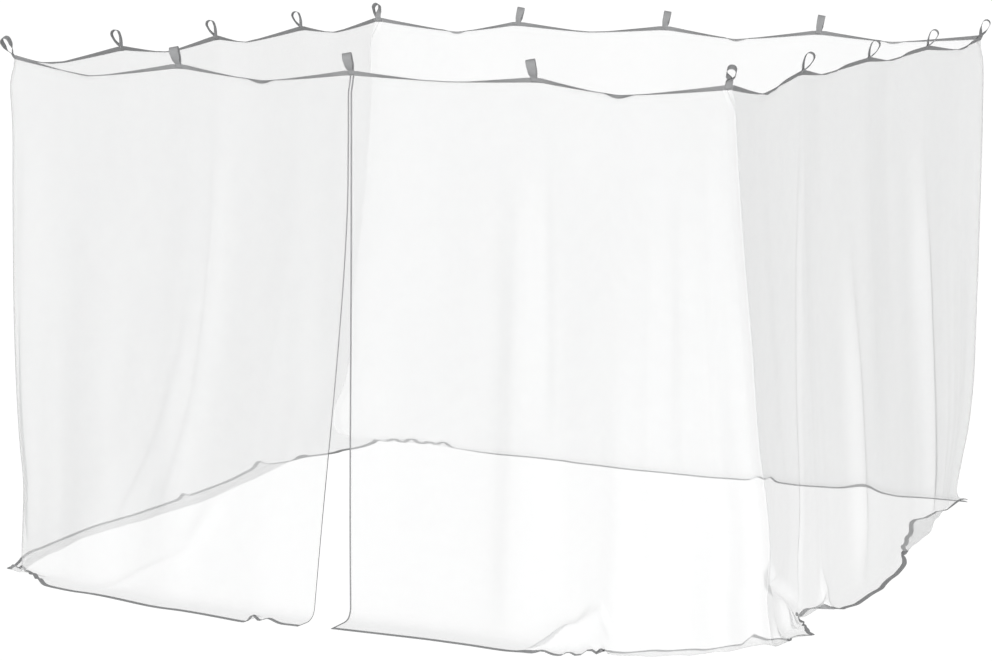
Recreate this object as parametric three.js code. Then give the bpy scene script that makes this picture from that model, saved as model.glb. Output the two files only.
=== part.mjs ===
// Hanging mosquito net for a square garden pavilion: four sheer walls, a door slit in the front one,
// grey tape along the top, the hem and the door, and sixteen tape loops to hang it by.
// Millimetres, +Z up. The origin is the middle of the square, level with the line that the loops hang on.
// Each side is worked out as the front one, along +X and facing -Y, and then turned into its place.

import * as THREE from 'three';

const { clamp, degToRad, lerp, smoothstep } = THREE.MathUtils;

// Overall sizes
const SIDE = 3000; // corner loop to corner loop
const SPANS = 4; // spans between loops along a side
const SPAN = SIDE / SPANS;
const ROOT_TO_FLOOR = 2080; // loop roots to the floor
const CORNER_CUT = 28; // how far a corner is cut off, so that its loop sits flat
const GAP = 0.35; // between tape and what is sewn to it
const SEAM_GAP = 1.2; // between two panels, or a panel and its own tape

// Cloth and tape
const NET_THICK = 1.5;
const TAPE_THICK = 2.2;
const HEADING_WIDTH = 20;
const HEADING_FOLD = 6; // the strip of the heading next to the net, which turns half as far as the rest
const HEADING_BOW = 12; // how far the heading hangs inwards between loops
const SAG_POWER = 1.3; // how flat a sag is at its lowest place
const HEM_WIDTH = 20;
const DOOR_TAPE_WIDTH = 6;
const DOOR_HALF_GAP = 4;

// Loops
const LOOP_WIDTH = 30;
const LOOP_THICK = 2;
const LOOP_LENGTH = 73; // root to the inside of the eye's top
const LOOP_LAP = 14; // sewn down over both faces of the heading
const LOOP_EYE = 13; // inside radius
const LOOP_NECK = 4; // height at which the two legs part
const LOOP_LEAN = degToRad(27); // outwards
const LOOP_SEGMENTS = 3;

// Levels and offsets that follow from these
const ROOT_Z = -LOOP_LENGTH * Math.cos(LOOP_LEAN);
const FLOOR_Z = ROOT_Z - ROOT_TO_FLOOR;
const LIE_Z = FLOOR_Z + TAPE_THICK / 2;
const DOOR_AT = SIDE / 2;
const CORNER_ANGLE = degToRad(45);

// How the walls come down to the floor, with shares of the drop or of the spread on the floor
const BEND_RADIUS = { front: 55, right: 45, back: 40, left: 25 };
const BEND_SHARE = 0.8;
const PLUMB_SHARE = 0.4; // the top of a wall that hangs plumb
const SLOPE_SHARE = 0.38; // the foot of a wall that slopes out
const SLOPE_DRAW = 0.75; // how far out the wall has come where that slope starts
const ALONG_REACH = 900; // how far along a side its corner draws it lengthways
const OUT_REACH = 300; // and inwards or outwards
const DOOR_REACH = 520;
const DOOR_PARTS = 0.35; // share of the way down at which the door begins to part

// Folds, with shares of the way down from the heading
const RIDGE_DEPTH = 13; // soft ridge under each loop
const RIDGE_WIDTH = 105;
const RIDGE_GROWS = 0.2;
const RIDGE_FADES = 0.8;
const CORNER_RIDGE = { front_left: 24 }; // more than under the other loops
const FOLD_GROWS = { from: 0.05, to: 0.5 };
const FOLD_FADES = { from: 0.82, to: 0.98, by: 0.8 };
const FOLD_CLEAR = 200; // from a corner
const LIFT_REACH = 90; // width of cloth that a small fold takes with it

// Columns along one span, as fractions of it, and rows as distances from the hem
const SPAN_STEPS = [0.15, 0.31, 0.48, 0.65, 0.82];
const ROWS_FROM_HEM = [1450, 1000, 660, 430, 290, 205, 155, 110, 65, HEM_WIDTH, 0];
const NEAREST_COLUMNS = 16;
const TURN_COLUMNS = 23;
const LEAST_SLANT = 0.35; // limits how far a slanting edge is drawn in

const SIDES = {
  front: { turn: 0, start: 'front_left', end: 'front_right' },
  right: { turn: 90, start: 'front_right', end: 'back_right' },
  back: { turn: 180, start: 'back_right', end: 'back_left' },
  left: { turn: 270, start: 'back_left', end: 'front_left' },
};

// The heading in each span: how far it sags, where along the span it is lowest, and its turn there
// in degrees
const HEADING = {
  front: [
    { sag: 41, low: 0.47, turn: 105 },
    { sag: 33, low: 0.48, turn: 150 },
    { sag: 11, low: 0.52, turn: 88 },
    { sag: 34, low: 0.43, turn: 150 },
  ],
  right: [
    { sag: 41, low: 0.5, turn: 100 },
    { sag: 16, low: 0.34, turn: 92 },
    { sag: 14, low: 0.39, turn: 90 },
    { sag: 26, low: 0.6, turn: 95 },
  ],
  back: [
    { sag: 22, low: 0.55, turn: 130 },
    { sag: 30, low: 0.53, turn: 150 },
    { sag: 19, low: 0.5, turn: 90 },
    { sag: 36, low: 0.42, turn: 150 },
  ],
  left: [
    { sag: 26, low: 0.59, turn: 90 },
    { sag: 23, low: 0.68, turn: 95 },
    { sag: 26, low: 0.54, turn: 90 },
    { sag: 24, low: 0.66, turn: 70 },
  ],
};

// Where the wall meets the floor and where the hem lies, both outwards from the loop line, along
// each side
const FLOOR_LINE = {
  front: [
    { at: 0, foot: -20, hem: 20 },
    { at: 150, foot: 20, hem: 115 },
    { at: 430, foot: 60, hem: 180 },
    { at: 800, foot: 120, hem: 245 },
    { at: 1200, foot: 150, hem: 290 },
    { at: 1490, foot: 125, hem: 240 },
    { at: 1510, foot: 60, hem: 215 },
    { at: 2300, foot: 75, hem: 205 },
    { at: 2440, foot: 95, hem: 185 },
    { at: 2660, foot: 95, hem: -5 },
    { at: 2780, foot: 40, hem: -50 },
    { at: 3000, foot: -230, hem: -230 },
  ],
  right: [
    { at: 0, foot: 60, hem: 60 },
    { at: 500, foot: 75, hem: 140 },
    { at: 950, foot: 100, hem: 165 },
    { at: 1500, foot: 105, hem: 175 },
    { at: 1690, foot: 110, hem: 160 },
    { at: 1980, foot: 110, hem: 25 },
    { at: 2430, foot: 60, hem: -75 },
    { at: 2800, foot: 40, hem: -20 },
    { at: 3000, foot: -60, hem: -20 },
  ],
  back: [
    { at: 0, foot: 20, hem: -40 },
    { at: 370, foot: 20, hem: -85 },
    { at: 500, foot: 30, hem: -15 },
    { at: 790, foot: 5, hem: -80 },
    { at: 1900, foot: 5, hem: -60 },
    { at: 2500, foot: 40, hem: -48 },
    { at: 3000, foot: 30, hem: -40 },
  ],
  left: [
    { at: 0, foot: 235, hem: -20 },
    { at: 270, foot: 200, hem: 35 },
    { at: 560, foot: 155, hem: 150 },
    { at: 810, foot: 118, hem: 245 },
    { at: 1190, foot: 100, hem: 215 },
    { at: 1520, foot: 60, hem: 205 },
    { at: 1900, foot: 95, hem: 225 },
    { at: 2160, foot: 120, hem: 250 },
    { at: 2400, foot: 140, hem: 238 },
    { at: 2650, foot: 100, hem: 225 },
    { at: 2800, foot: 70, hem: 212 },
    { at: 3000, foot: 20, hem: 150 },
  ],
};

// How far each corner is moved at the floor, along X and along Y of the whole net
const CORNER_SHIFT = {
  front_left: { foot: [-12, 0], hem: [-118, -20] },
  front_right: { foot: [80, 270], hem: [98, 254] },
  back_right: { foot: [-55, 5], hem: [-25, -25] },
  back_left: { foot: [-235, 5], hem: [20, -40] },
};
const CORNER_LEAD = { front_right: 0.25 }; // share of the foot's shift that shows from the top on

// How far each door edge is moved along the front at the floor
const DOOR_SHIFT = { left: -108, right: 8 };

// Long soft folds in the walls: their place at the top and at the floor, half width, and depth outwards
const FOLDS = [
  { side: 'front', top: 2250, foot: 2310, width: 150, depth: 14 },
  { side: 'front', top: 640, foot: 560, width: 170, depth: -14 },
  { side: 'right', top: 720, foot: 800, width: 100, depth: 10 },
  { side: 'right', top: 1395, foot: 1450, width: 100, depth: 24 },
  { side: 'right', top: 2215, foot: 2450, width: 110, depth: 30 },
  { side: 'right', top: 2700, foot: 2640, width: 120, depth: -14 },
  { side: 'back', top: 620, foot: 480, width: 110, depth: 20 },
  { side: 'back', top: 2250, foot: 2400, width: 140, depth: 16 },
  { side: 'left', top: 1570, foot: 1700, width: 110, depth: 24 },
  { side: 'left', top: 1940, foot: 2080, width: 140, depth: 20 },
  { side: 'left', top: 2580, foot: 2640, width: 120, depth: 14 },
];

// Small folds that stand off the floor: half width, height, and how far from the hem they are highest
const LIFTS = [
  { side: 'front', at: 85, width: 48, height: 34, from: 0 },
  { side: 'front', at: 215, width: 50, height: 26, from: 0 },
  { side: 'front', at: 1265, width: 45, height: 34, from: 0 },
  { side: 'front', at: 2390, width: 70, height: 60, from: 115 },
  { side: 'right', at: 640, width: 70, height: 50, from: 0 },
  { side: 'right', at: 1740, width: 75, height: 40, from: 0 },
  { side: 'back', at: 480, width: 80, height: 60, from: 105 },
  { side: 'back', at: 2640, width: 55, height: 26, from: 0 },
  { side: 'back', at: 2800, width: 55, height: 30, from: 0 },
  { side: 'left', at: 800, width: 60, height: 34, from: 0 },
];

// Stretches where the cloth on the floor turns over from one side of the wall to the other
const TURNS = [
  { side: 'front', from: 2450, to: 2670 },
  { side: 'right', from: 1690, to: 1980 },
  { side: 'left', from: 500, to: 730 },
];

const bell = (distance, width) => Math.exp(-((distance / width) ** 2));

// A table's column at a place between its rows, eased from row to row
function readTable(rows, at, column) {
  const next = clamp(rows.findIndex((row) => row.at >= at), 1, rows.length - 1);
  const a = rows[next - 1];
  const b = rows[next];
  return lerp(a[column], b[column], smoothstep(at, a.at, b.at));
}

// The loop line in plan, cut off at both corners and drawn out towards them
function planPoint(at) {
  const fromEnd = Math.min(at, SIDE - at);
  const cut = Math.max(0, CORNER_CUT - fromEnd) / 2;
  const pull = (CORNER_CUT / 2) * (1 - clamp((fromEnd - CORNER_CUT) / (SPAN - CORNER_CUT), 0, 1));
  const inwards = at < DOOR_AT ? cut - pull : pull - cut;
  return new THREE.Vector3(at - DOOR_AT + inwards, -DOOR_AT + cut - pull, 0);
}

// The way out of the net at a place: square to the side, or slanting where the corner is cut
function outward(at) {
  const fromEnd = Math.min(at, SIDE - at);
  if (fromEnd > CORNER_CUT) return new THREE.Vector3(0, -1, 0);
  const mitred = fromEnd === CORNER_CUT;
  const angle = mitred ? CORNER_ANGLE / 2 : CORNER_ANGLE;
  const length = mitred ? 1 / Math.cos(angle) : 1;
  const towards = at < DOOR_AT ? -1 : 1;
  return new THREE.Vector3(towards * Math.sin(angle), -Math.cos(angle), 0).multiplyScalar(length);
}

// How far down its sag the heading is, from 0 at the loops to 1 at the lowest place, and the span's row
function headingState(side, at) {
  const span = Math.min(Math.floor(at / SPAN), SPANS - 1);
  const row = HEADING[side][span];
  const along = at - span * SPAN;
  const low = row.low * SPAN;
  const run = along < low ? (along - CORNER_CUT) / (low - CORNER_CUT)
    : (SPAN - CORNER_CUT - along) / (SPAN - CORNER_CUT - low);
  const share = clamp(run, 0, 1);
  return { row, share, dip: 1 - (1 - share) ** SAG_POWER };
}

// The heading's lower edge, which the net hangs from
function headingFoot(side, at) {
  const { row, dip } = headingState(side, at);
  const back = HEADING_WIDTH * Math.sin(LOOP_LEAN) + HEADING_BOW * dip;
  const point = planPoint(at).addScaledVector(outward(at), -back);
  point.z = ROOT_Z - HEADING_WIDTH * Math.cos(LOOP_LEAN) - row.sag * dip;
  return point;
}

// The heading across its width: lower edge, fold line and upper edge
function headingAcross(side, at) {
  const { row, share } = headingState(side, at);
  const turn = lerp(LOOP_LEAN, degToRad(row.turn), smoothstep(share, 0, 1));
  const out = outward(at);
  const step = (from, angle, width) => {
    const to = from.clone().addScaledVector(out, Math.sin(angle) * width);
    to.z += Math.cos(angle) * width;
    return to;
  };
  const foot = headingFoot(side, at);
  const fold = step(foot, (LOOP_LEAN + turn) / 2, HEADING_FOLD);
  return [foot, fold, step(fold, turn, HEADING_WIDTH - HEADING_FOLD)];
}

// A corner's shift at the floor, seen from a side
function cornerShift(side, end, column) {
  const shift = CORNER_SHIFT[SIDES[side][end]][column];
  const turned = new THREE.Vector2(shift[0], shift[1]);
  turned.rotateAround(new THREE.Vector2(), -degToRad(SIDES[side].turn));
  return new THREE.Vector3(turned.x, turned.y, 0);
}

// How far the foot or the hem is moved from the loop line at a place on a side
function floorShift(side, at, column) {
  const shift = new THREE.Vector3(0, -readTable(FLOOR_LINE[side], at, column), 0);
  for (const [end, distance] of [['start', at], ['end', SIDE - at]]) {
    const corner = cornerShift(side, end, column);
    shift.x += corner.x * (1 - smoothstep(distance, CORNER_CUT, ALONG_REACH));
    shift.y = lerp(corner.y, shift.y, smoothstep(distance, CORNER_CUT, OUT_REACH));
  }
  return shift;
}

// How much of the foot's shift shows at the top of the wall, near a corner that leads it
function cornerLead(side, at) {
  const { start, end } = SIDES[side];
  const near = (corner, distance) => (CORNER_LEAD[corner] ?? 0) * (1 - smoothstep(distance, CORNER_CUT, ALONG_REACH));
  return near(start, at) + near(end, SIDE - at);
}

// How far a door edge has moved along the front, at a share of the way down from the heading
function doorShift(side, at, down) {
  if (side !== 'front') return 0;
  const edge = at < DOOR_AT ? DOOR_SHIFT.left : DOOR_SHIFT.right;
  const near = 1 - smoothstep(Math.abs(at - DOOR_AT), 0, DOOR_REACH);
  return edge * smoothstep(down, DOOR_PARTS, 1) * near;
}

// One line of the net from the heading down to the floor and along it to the hem
function hangingLine(side, at) {
  const top = headingFoot(side, at);
  top.z -= TAPE_THICK / 2 + GAP;
  const foot = top.clone().add(floorShift(side, at, 'foot')).setZ(LIE_Z);
  const hem = top.clone().add(floorShift(side, at, 'hem')).setZ(LIE_Z);
  const spread = foot.distanceTo(hem);
  const radius = BEND_RADIUS[side];
  const bend = Math.min(radius, BEND_SHARE * spread);
  const bendStart = foot.clone().setZ(LIE_Z + radius);
  const bendEnd = foot.clone().lerp(hem, bend / spread);
  foot.z += Math.max(0, radius - spread) / 2;
  const drop = top.z - LIE_Z;
  const upper = top.clone().lerp(foot, cornerLead(side, at)).setZ(top.z - PLUMB_SHARE * drop);
  const lower = top.clone().lerp(foot, SLOPE_DRAW).setZ(LIE_Z + SLOPE_SHARE * drop);
  const line = new THREE.CurvePath();
  line.add(new THREE.CubicBezierCurve3(top, upper, lower, bendStart));
  line.add(new THREE.QuadraticBezierCurve3(bendStart, foot, bendEnd));
  line.add(new THREE.LineCurve3(bendEnd, hem));
  return line;
}

// How much deeper the ridge is under a corner loop than under the others
function cornerRidge(side, at, down) {
  if (Math.min(at, SIDE - at) > SPAN / 2) return 0;
  const depth = CORNER_RIDGE[at < DOOR_AT ? SIDES[side].start : SIDES[side].end] ?? 0;
  return depth * smoothstep(down, 0, 0.4) * (1 - smoothstep(down, 0.7, 0.9));
}

// How far the folds push the net outwards, at a share of the way down from the heading
function foldDepth(side, at, down) {
  const toLoop = Math.abs(at - Math.round(at / SPAN) * SPAN);
  const under = RIDGE_DEPTH * smoothstep(down, 0, RIDGE_GROWS) * (1 - RIDGE_FADES * down);
  const ridge = bell(toLoop, RIDGE_WIDTH) * (under + cornerRidge(side, at, down));
  const folds = FOLDS.filter((fold) => fold.side === side);
  const depths = folds.map((fold) => {
    const middle = lerp(fold.top, fold.foot, down);
    return fold.depth * bell(at - middle, fold.width);
  });
  const grown = smoothstep(down, FOLD_GROWS.from, FOLD_GROWS.to);
  const kept = 1 - FOLD_FADES.by * smoothstep(down, FOLD_FADES.from, FOLD_FADES.to);
  const free = smoothstep(Math.min(at, SIDE - at), CORNER_CUT, FOLD_CLEAR);
  return ridge + grown * kept * free * depths.reduce((sum, depth) => sum + depth, 0);
}

// How far the small folds raise the net, at a distance from the hem
function liftHeight(side, at, fromHem) {
  const lifts = LIFTS.filter((lift) => lift.side === side);
  const heights = lifts.map((lift) => {
    const height = lift.height * bell(at - lift.at, lift.width);
    return height * bell(fromHem - lift.from, LIFT_REACH);
  });
  return heights.reduce((sum, height) => sum + height, 0);
}

// Points of the net down one line, from the heading to the hem
function netColumn(side, at) {
  const line = hangingLine(side, at);
  const length = line.getLength();
  return [length, ...ROWS_FROM_HEM].map((fromHem) => {
    const down = 1 - fromHem / length;
    const point = line.getPointAt(down);
    point.addScaledVector(outward(at), foldDepth(side, at, down));
    point.x += doorShift(side, at, down);
    point.z += liftHeight(side, at, fromHem);
    return point;
  });
}

// Places along a side for its columns: by the loops, at each turn and small fold of the hem, and
// along the spans
function columnPlaces(side, from, to, edges) {
  const places = [from, ...edges, to];
  const add = (at) => {
    const free = places.every((other) => Math.abs(other - at) >= NEAREST_COLUMNS);
    if (free && at > from && at < to) places.push(at);
  };
  for (let loop = 0; loop <= SPANS; loop += 1) {
    [0, -CORNER_CUT, CORNER_CUT].forEach((offset) => add(loop * SPAN + offset));
  }
  TURNS.filter((turn) => turn.side === side).forEach((turn) => {
    for (let at = turn.from; at <= turn.to; at += TURN_COLUMNS) add(at);
  });
  LIFTS.filter((lift) => lift.side === side).forEach((lift) => {
    [0, -lift.width, lift.width].forEach((offset) => add(lift.at + offset));
  });
  for (let span = 0; span < SPANS; span += 1) {
    SPAN_STEPS.forEach((step) => add((span + step) * SPAN));
  }
  return places.sort((a, b) => a - b);
}

// A grid of points with its normals, facing out of the net
function clothGrid(columns) {
  const at = (c, r) => columns[clamp(c, 0, columns.length - 1)][clamp(r, 0, columns[0].length - 1)];
  const normals = columns.map((column, c) => column.map((point, r) => {
    const down = at(c, r + 1).clone().sub(at(c, r - 1));
    const along = at(c + 1, r).clone().sub(at(c - 1, r));
    return down.cross(along).normalize();
  }));
  return { columns, normals };
}

// A closed sheet from part of a grid, drawn in by half a seam's gap all round
function sheetFrom(grid, [c0, c1], [r0, r1], thickness) {
  const tall = r1 - r0 + 1;
  const wide = c1 - c0 + 1;
  const way = (from, to) => to.clone().sub(from).normalize();
  const drawn = (c, r) => {
    const { columns } = grid;
    const point = columns[c][r].clone();
    const acrossRows = way(columns[Math.max(c - 1, c0)][r], columns[Math.min(c + 1, c1)][r]);
    const downRows = way(columns[c][Math.max(r - 1, r0)], columns[c][Math.min(r + 1, r1)]);
    const draw = (neighbour, edge) => {
      const inwards = way(columns[c][r], neighbour);
      const slant = Math.max(LEAST_SLANT, inwards.clone().cross(edge).length());
      point.addScaledVector(inwards, SEAM_GAP / 2 / slant);
    };
    if (c === c0) draw(columns[c + 1][r], downRows);
    if (c === c1) draw(columns[c - 1][r], downRows);
    if (r === r0) draw(columns[c][r + 1], acrossRows);
    if (r === r1) draw(columns[c][r - 1], acrossRows);
    return point;
  };
  const positions = [];
  for (const face of [0.5, -0.5]) {
    for (let c = c0; c <= c1; c += 1) {
      for (let r = r0; r <= r1; r += 1) {
        const point = drawn(c, r).addScaledVector(grid.normals[c][r], face * thickness);
        positions.push(point.x, point.y, point.z);
      }
    }
  }
  const id = (c, r) => c * tall + r;
  const behind = wide * tall;
  const triangles = [];
  for (let c = 0; c < wide - 1; c += 1) {
    for (let r = 0; r < tall - 1; r += 1) {
      const [a, b, d, e] = [id(c, r), id(c, r + 1), id(c + 1, r), id(c + 1, r + 1)];
      triangles.push(a, b, d, d, b, e);
      triangles.push(behind + a, behind + d, behind + b, behind + d, behind + e, behind + b);
    }
  }
  const rim = [];
  for (let r = 0; r < tall - 1; r += 1) rim.push(id(0, r));
  for (let c = 0; c < wide - 1; c += 1) rim.push(id(c, tall - 1));
  for (let r = tall - 1; r > 0; r -= 1) rim.push(id(wide - 1, r));
  for (let c = wide - 1; c > 0; c -= 1) rim.push(id(c, 0));
  rim.forEach((a, i) => {
    const b = rim[(i + 1) % rim.length];
    triangles.push(b, a, behind + a, b, behind + a, behind + b);
  });
  const geometry = new THREE.BufferGeometry();
  geometry.setAttribute('position', new THREE.Float32BufferAttribute(positions, 3));
  geometry.setIndex(triangles);
  geometry.computeVertexNormals();
  return geometry;
}

// One loop: a strip of tape folded into an eye, its two legs sewn down over both faces of the heading
function loopGeometry() {
  const inside = TAPE_THICK / 2 + GAP;
  const outside = inside + LOOP_THICK;
  const eyeOutside = LOOP_EYE + LOOP_THICK;
  const centre = LOOP_LENGTH - LOOP_EYE;
  const shape = new THREE.Shape();
  shape.moveTo(inside, -LOOP_LAP);
  shape.lineTo(inside, LOOP_NECK);
  shape.quadraticCurveTo(LOOP_EYE, centre / 2, LOOP_EYE, centre);
  shape.absarc(0, centre, LOOP_EYE, 0, Math.PI, false);
  shape.quadraticCurveTo(-LOOP_EYE, centre / 2, -inside, LOOP_NECK);
  shape.lineTo(-inside, -LOOP_LAP);
  shape.lineTo(-outside, -LOOP_LAP);
  shape.lineTo(-outside, LOOP_NECK);
  shape.quadraticCurveTo(-eyeOutside, centre / 2, -eyeOutside, centre);
  shape.absarc(0, centre, eyeOutside, Math.PI, 0, true);
  shape.quadraticCurveTo(eyeOutside, centre / 2, outside, LOOP_NECK);
  shape.lineTo(outside, -LOOP_LAP);
  const settings = { depth: LOOP_WIDTH, bevelEnabled: false, curveSegments: LOOP_SEGMENTS };
  const geometry = new THREE.ExtrudeGeometry(shape, settings);
  geometry.translate(0, 0, -LOOP_WIDTH / 2);
  geometry.rotateX(Math.PI / 2);
  return geometry;
}

const netMaterial = () => new THREE.MeshStandardMaterial({ color: 0xf4f5f5, roughness: 0.9 });
const tapeMaterial = () => new THREE.MeshStandardMaterial({ color: 0x9b9c9e, roughness: 0.85 });

function addPiece(group, name, geometry, material) {
  const mesh = new THREE.Mesh(geometry, material);
  mesh.name = name;
  group.add(mesh);
  return mesh;
}

// The net of one panel, the tape along its hem, and the tape of a door edge if the panel has one
function addPanel(group, panel) {
  const { name, side, from, to, doorEnd } = panel;
  const tapeLine = { start: from + DOOR_TAPE_WIDTH, end: to - DOOR_TAPE_WIDTH }[doorEnd];
  const places = columnPlaces(side, from, to, doorEnd ? [tapeLine] : []);
  const grid = clothGrid(places.map((at) => netColumn(side, at)));
  const lastColumn = places.length - 1;
  const lastRow = ROWS_FROM_HEM.length;
  const hemRow = lastRow - 1;
  const tapeColumn = places.indexOf(tapeLine);
  const first = doorEnd === 'start' ? tapeColumn : 0;
  const last = doorEnd === 'end' ? tapeColumn : lastColumn;
  const cloth = sheetFrom(grid, [first, last], [0, hemRow], NET_THICK);
  addPiece(group, `net_${name}`, cloth, netMaterial());
  const hemTape = sheetFrom(grid, [first, last], [hemRow, lastRow], TAPE_THICK);
  addPiece(group, `hem_tape_${name}`, hemTape, tapeMaterial());
  if (!doorEnd) return;
  const tapeColumns = doorEnd === 'start' ? [0, tapeColumn] : [tapeColumn, lastColumn];
  const doorTape = sheetFrom(grid, tapeColumns, [0, lastRow], TAPE_THICK);
  addPiece(group, `door_tape_${name}`, doorTape, tapeMaterial());
}

function addHeading(group, side) {
  const places = columnPlaces(side, 0, SIDE, []);
  const grid = clothGrid(places.map((at) => headingAcross(side, at).reverse()));
  const lastRow = grid.columns[0].length - 1;
  const tape = sheetFrom(grid, [0, places.length - 1], [0, lastRow], TAPE_THICK);
  addPiece(group, `heading_${side}`, tape, tapeMaterial());
}

function addLoop(group, name, at) {
  const out = outward(at);
  const stand = new THREE.Group();
  stand.position.copy(planPoint(at)).setZ(ROOT_Z);
  stand.rotation.z = Math.atan2(out.y, out.x);
  const mesh = addPiece(stand, name, loopGeometry(), tapeMaterial());
  mesh.rotation.y = LOOP_LEAN;
  group.add(stand);
}

const PANELS = [
  { name: 'front_left', side: 'front', from: 0, to: DOOR_AT - DOOR_HALF_GAP, doorEnd: 'end' },
  { name: 'front_right', side: 'front', from: DOOR_AT + DOOR_HALF_GAP, to: SIDE, doorEnd: 'start' },
  { name: 'right', side: 'right', from: 0, to: SIDE },
  { name: 'back', side: 'back', from: 0, to: SIDE },
  { name: 'left', side: 'left', from: 0, to: SIDE },
];

const net = new THREE.Group();
for (const side of Object.keys(SIDES)) {
  const group = new THREE.Group();
  group.rotation.z = degToRad(SIDES[side].turn);
  PANELS.filter((panel) => panel.side === side).forEach((panel) => addPanel(group, panel));
  addHeading(group, side);
  addLoop(group, `loop_corner_${SIDES[side].start}`, 0);
  for (let loop = 1; loop < SPANS; loop += 1) {
    addLoop(group, `loop_${side}_${loop}`, loop * SPAN);
  }
  net.add(group);
}

export default net;
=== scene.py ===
"""Looks of a hanging mosquito net for a square garden pavilion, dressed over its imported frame.

The tables are in millimetres, as the net is cut; the meshes and the properties are in metres.
Each side is worked out as the front one, along +X and facing -Y, and then turned into its place.
"""

import math

import bpy
import numpy as np
from bpy.props import FloatProperty, FloatVectorProperty, PointerProperty
from bpy.types import Operator, Panel, PropertyGroup
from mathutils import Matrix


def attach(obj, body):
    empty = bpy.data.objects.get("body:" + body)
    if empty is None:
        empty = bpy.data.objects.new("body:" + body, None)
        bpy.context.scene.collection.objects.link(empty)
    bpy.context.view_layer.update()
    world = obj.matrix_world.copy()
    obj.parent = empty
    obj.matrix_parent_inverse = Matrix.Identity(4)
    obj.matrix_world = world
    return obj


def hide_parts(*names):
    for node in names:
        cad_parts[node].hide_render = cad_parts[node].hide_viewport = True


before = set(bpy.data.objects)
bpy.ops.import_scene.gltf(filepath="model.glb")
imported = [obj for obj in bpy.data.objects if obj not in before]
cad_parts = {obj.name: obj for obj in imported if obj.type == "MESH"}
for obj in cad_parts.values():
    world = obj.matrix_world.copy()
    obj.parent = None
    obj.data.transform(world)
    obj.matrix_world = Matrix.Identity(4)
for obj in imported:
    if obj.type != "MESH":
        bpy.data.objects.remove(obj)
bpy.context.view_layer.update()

bl_info = {
    "name": "Pavilion mosquito net",
    "version": (1, 0, 0),
    "blender": (4, 5, 0),
    "location": "View3D > Sidebar > Net",
    "description": "Sheer walls, tapes, hanging loops and stitching of a square mosquito net",
    "category": "Object",
}

MM = 0.001
ROOT = "root"

# Overall sizes of the net as it hangs
SIDE = 3000.0
SPANS = 4
SPAN = SIDE / SPANS
DOOR_AT = SIDE / 2
ROOT_TO_FLOOR = 2080.0
CORNER_CUT = 28.0
CORNER_SLANT = math.radians(45)
CORNER_TURNS = (0.3 * CORNER_CUT, 1.7 * CORNER_CUT)  # from a corner, while the slant turns square
HEADING_WIDTH = 20.0
HEADING_FOLD = 2.5
HEADING_BOW = 12.0
SAG_POWER = 1.25
HEM_WIDTH = 20.0
DOOR_TAPE = {"front_left": (5.0, 2.2), "front_right": (6.0, 6.0)}  # width at the top, at the floor
DOOR_HALF_GAP = 3.0
TAPE_THICK = 2.2
TAPE_SLOT = 0.35  # half of the slot between a tape's two plies
TAPE_GAP = 0.35  # between a tape and what lies against it
TAPE_ENDS = 0.4  # left between two tapes that meet end to end
NET_TUCK = 4.0  # how far the net reaches between the plies
SEAM_TURN = 9.0  # turned inwards beyond the seam at a corner
SEAM_LEAST = 0.5  # and never narrower than this
SEAM_GROWS = (20.0, 160.0)  # heights over the floor between which the turned strip widens

# Hanging loops, with shares of their length
LOOP_THICK = 2.0
LOOP_LENGTH = 73.0
LOOP_LAP = 14.0
LOOP_EYE = 15.5
LOOP_NECK = 4.0
LOOP_LEAN = math.radians(27)
LOOP_FULL = 0.8  # where the tape is at its widest
LOOP_STEPS = (5, 12, 9)  # points along the sewn end, the leg and half of the eye
# One face of a loop's tape: shares of its width and of half its thickness
LOOP_FACE = [
    (-0.5, 0.35), (-0.47, 0.9), (-0.3, 1.0), (0.0, 1.0), (0.3, 1.0), (0.47, 0.9), (0.5, 0.35),
]
# How far each loop's tape twists between its root and its eye, in degrees
LOOP_TWIST = {
    "front": 22, "right": 10, "back": 22, "left": 15,
    "front_left": -36, "front_right": 64, "back_right": -26, "back_left": 48,
}
TWIST_GROWS = (0.12, 0.6)
LOOP_PINCH = {"front_right": 1.0}  # legs held together low down
PINCH_ENDS = (0.35, 0.5)

ROOT_Z = -LOOP_LENGTH * math.cos(LOOP_LEAN)
FLOOR_Z = ROOT_Z - ROOT_TO_FLOOR
LIE_Z = FLOOR_Z + TAPE_THICK / 2

# How the walls come down to the floor, with shares of the drop or of the spread on the floor
BEND_RADIUS = {  # place along the side, radius of the bend at the floor
    "front": [(0, 40), (300, 55), (2430, 55), (2560, 12), (2850, 12), (3000, 50)],
    "right": [(0, 50), (200, 45), (3000, 45)],
    "back": [(0, 45), (400, 40), (2500, 40), (3000, 150)],
    "left": [(0, 150), (500, 20), (2600, 20), (3000, 40)],
}
BEND_SHARE = 0.8  # of the spread on the floor is in the bend at most
PLUMB_SHARE = 0.4  # the wall is drawn straight down by this share of the drop,
SLOPE_SHARE = 0.38  # and to its foot from this share of the drop over the floor,
SLOPE_DRAW = 0.75  # where it has come this share of the way out
ALONG_REACH = 900.0  # from a corner, how far its shift draws the wall along the side,
OUT_REACH = {  # and how far it sets the floor line
    "front_left": 300.0, "front_right": 120.0, "back_right": 300.0, "back_left": 300.0,
}
DOOR_REACH = 520.0  # from the door, how far its parting draws the wall along the side
DOOR_STARTS = 0.03  # share of the drop over which the edges come to where they hang
DOOR_PARTS = 0.2  # share of the drop where they start to part
DOOR_CURVE = 1.35
DOOR_TUCK = 0.45  # share of the door tape's width that the net stops short of the edge
RIDGE_DEPTH = 3.0
RIDGE_WIDTH = 105.0
RIDGE_GROWS = 0.2
RIDGE_FADES = 0.8
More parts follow.
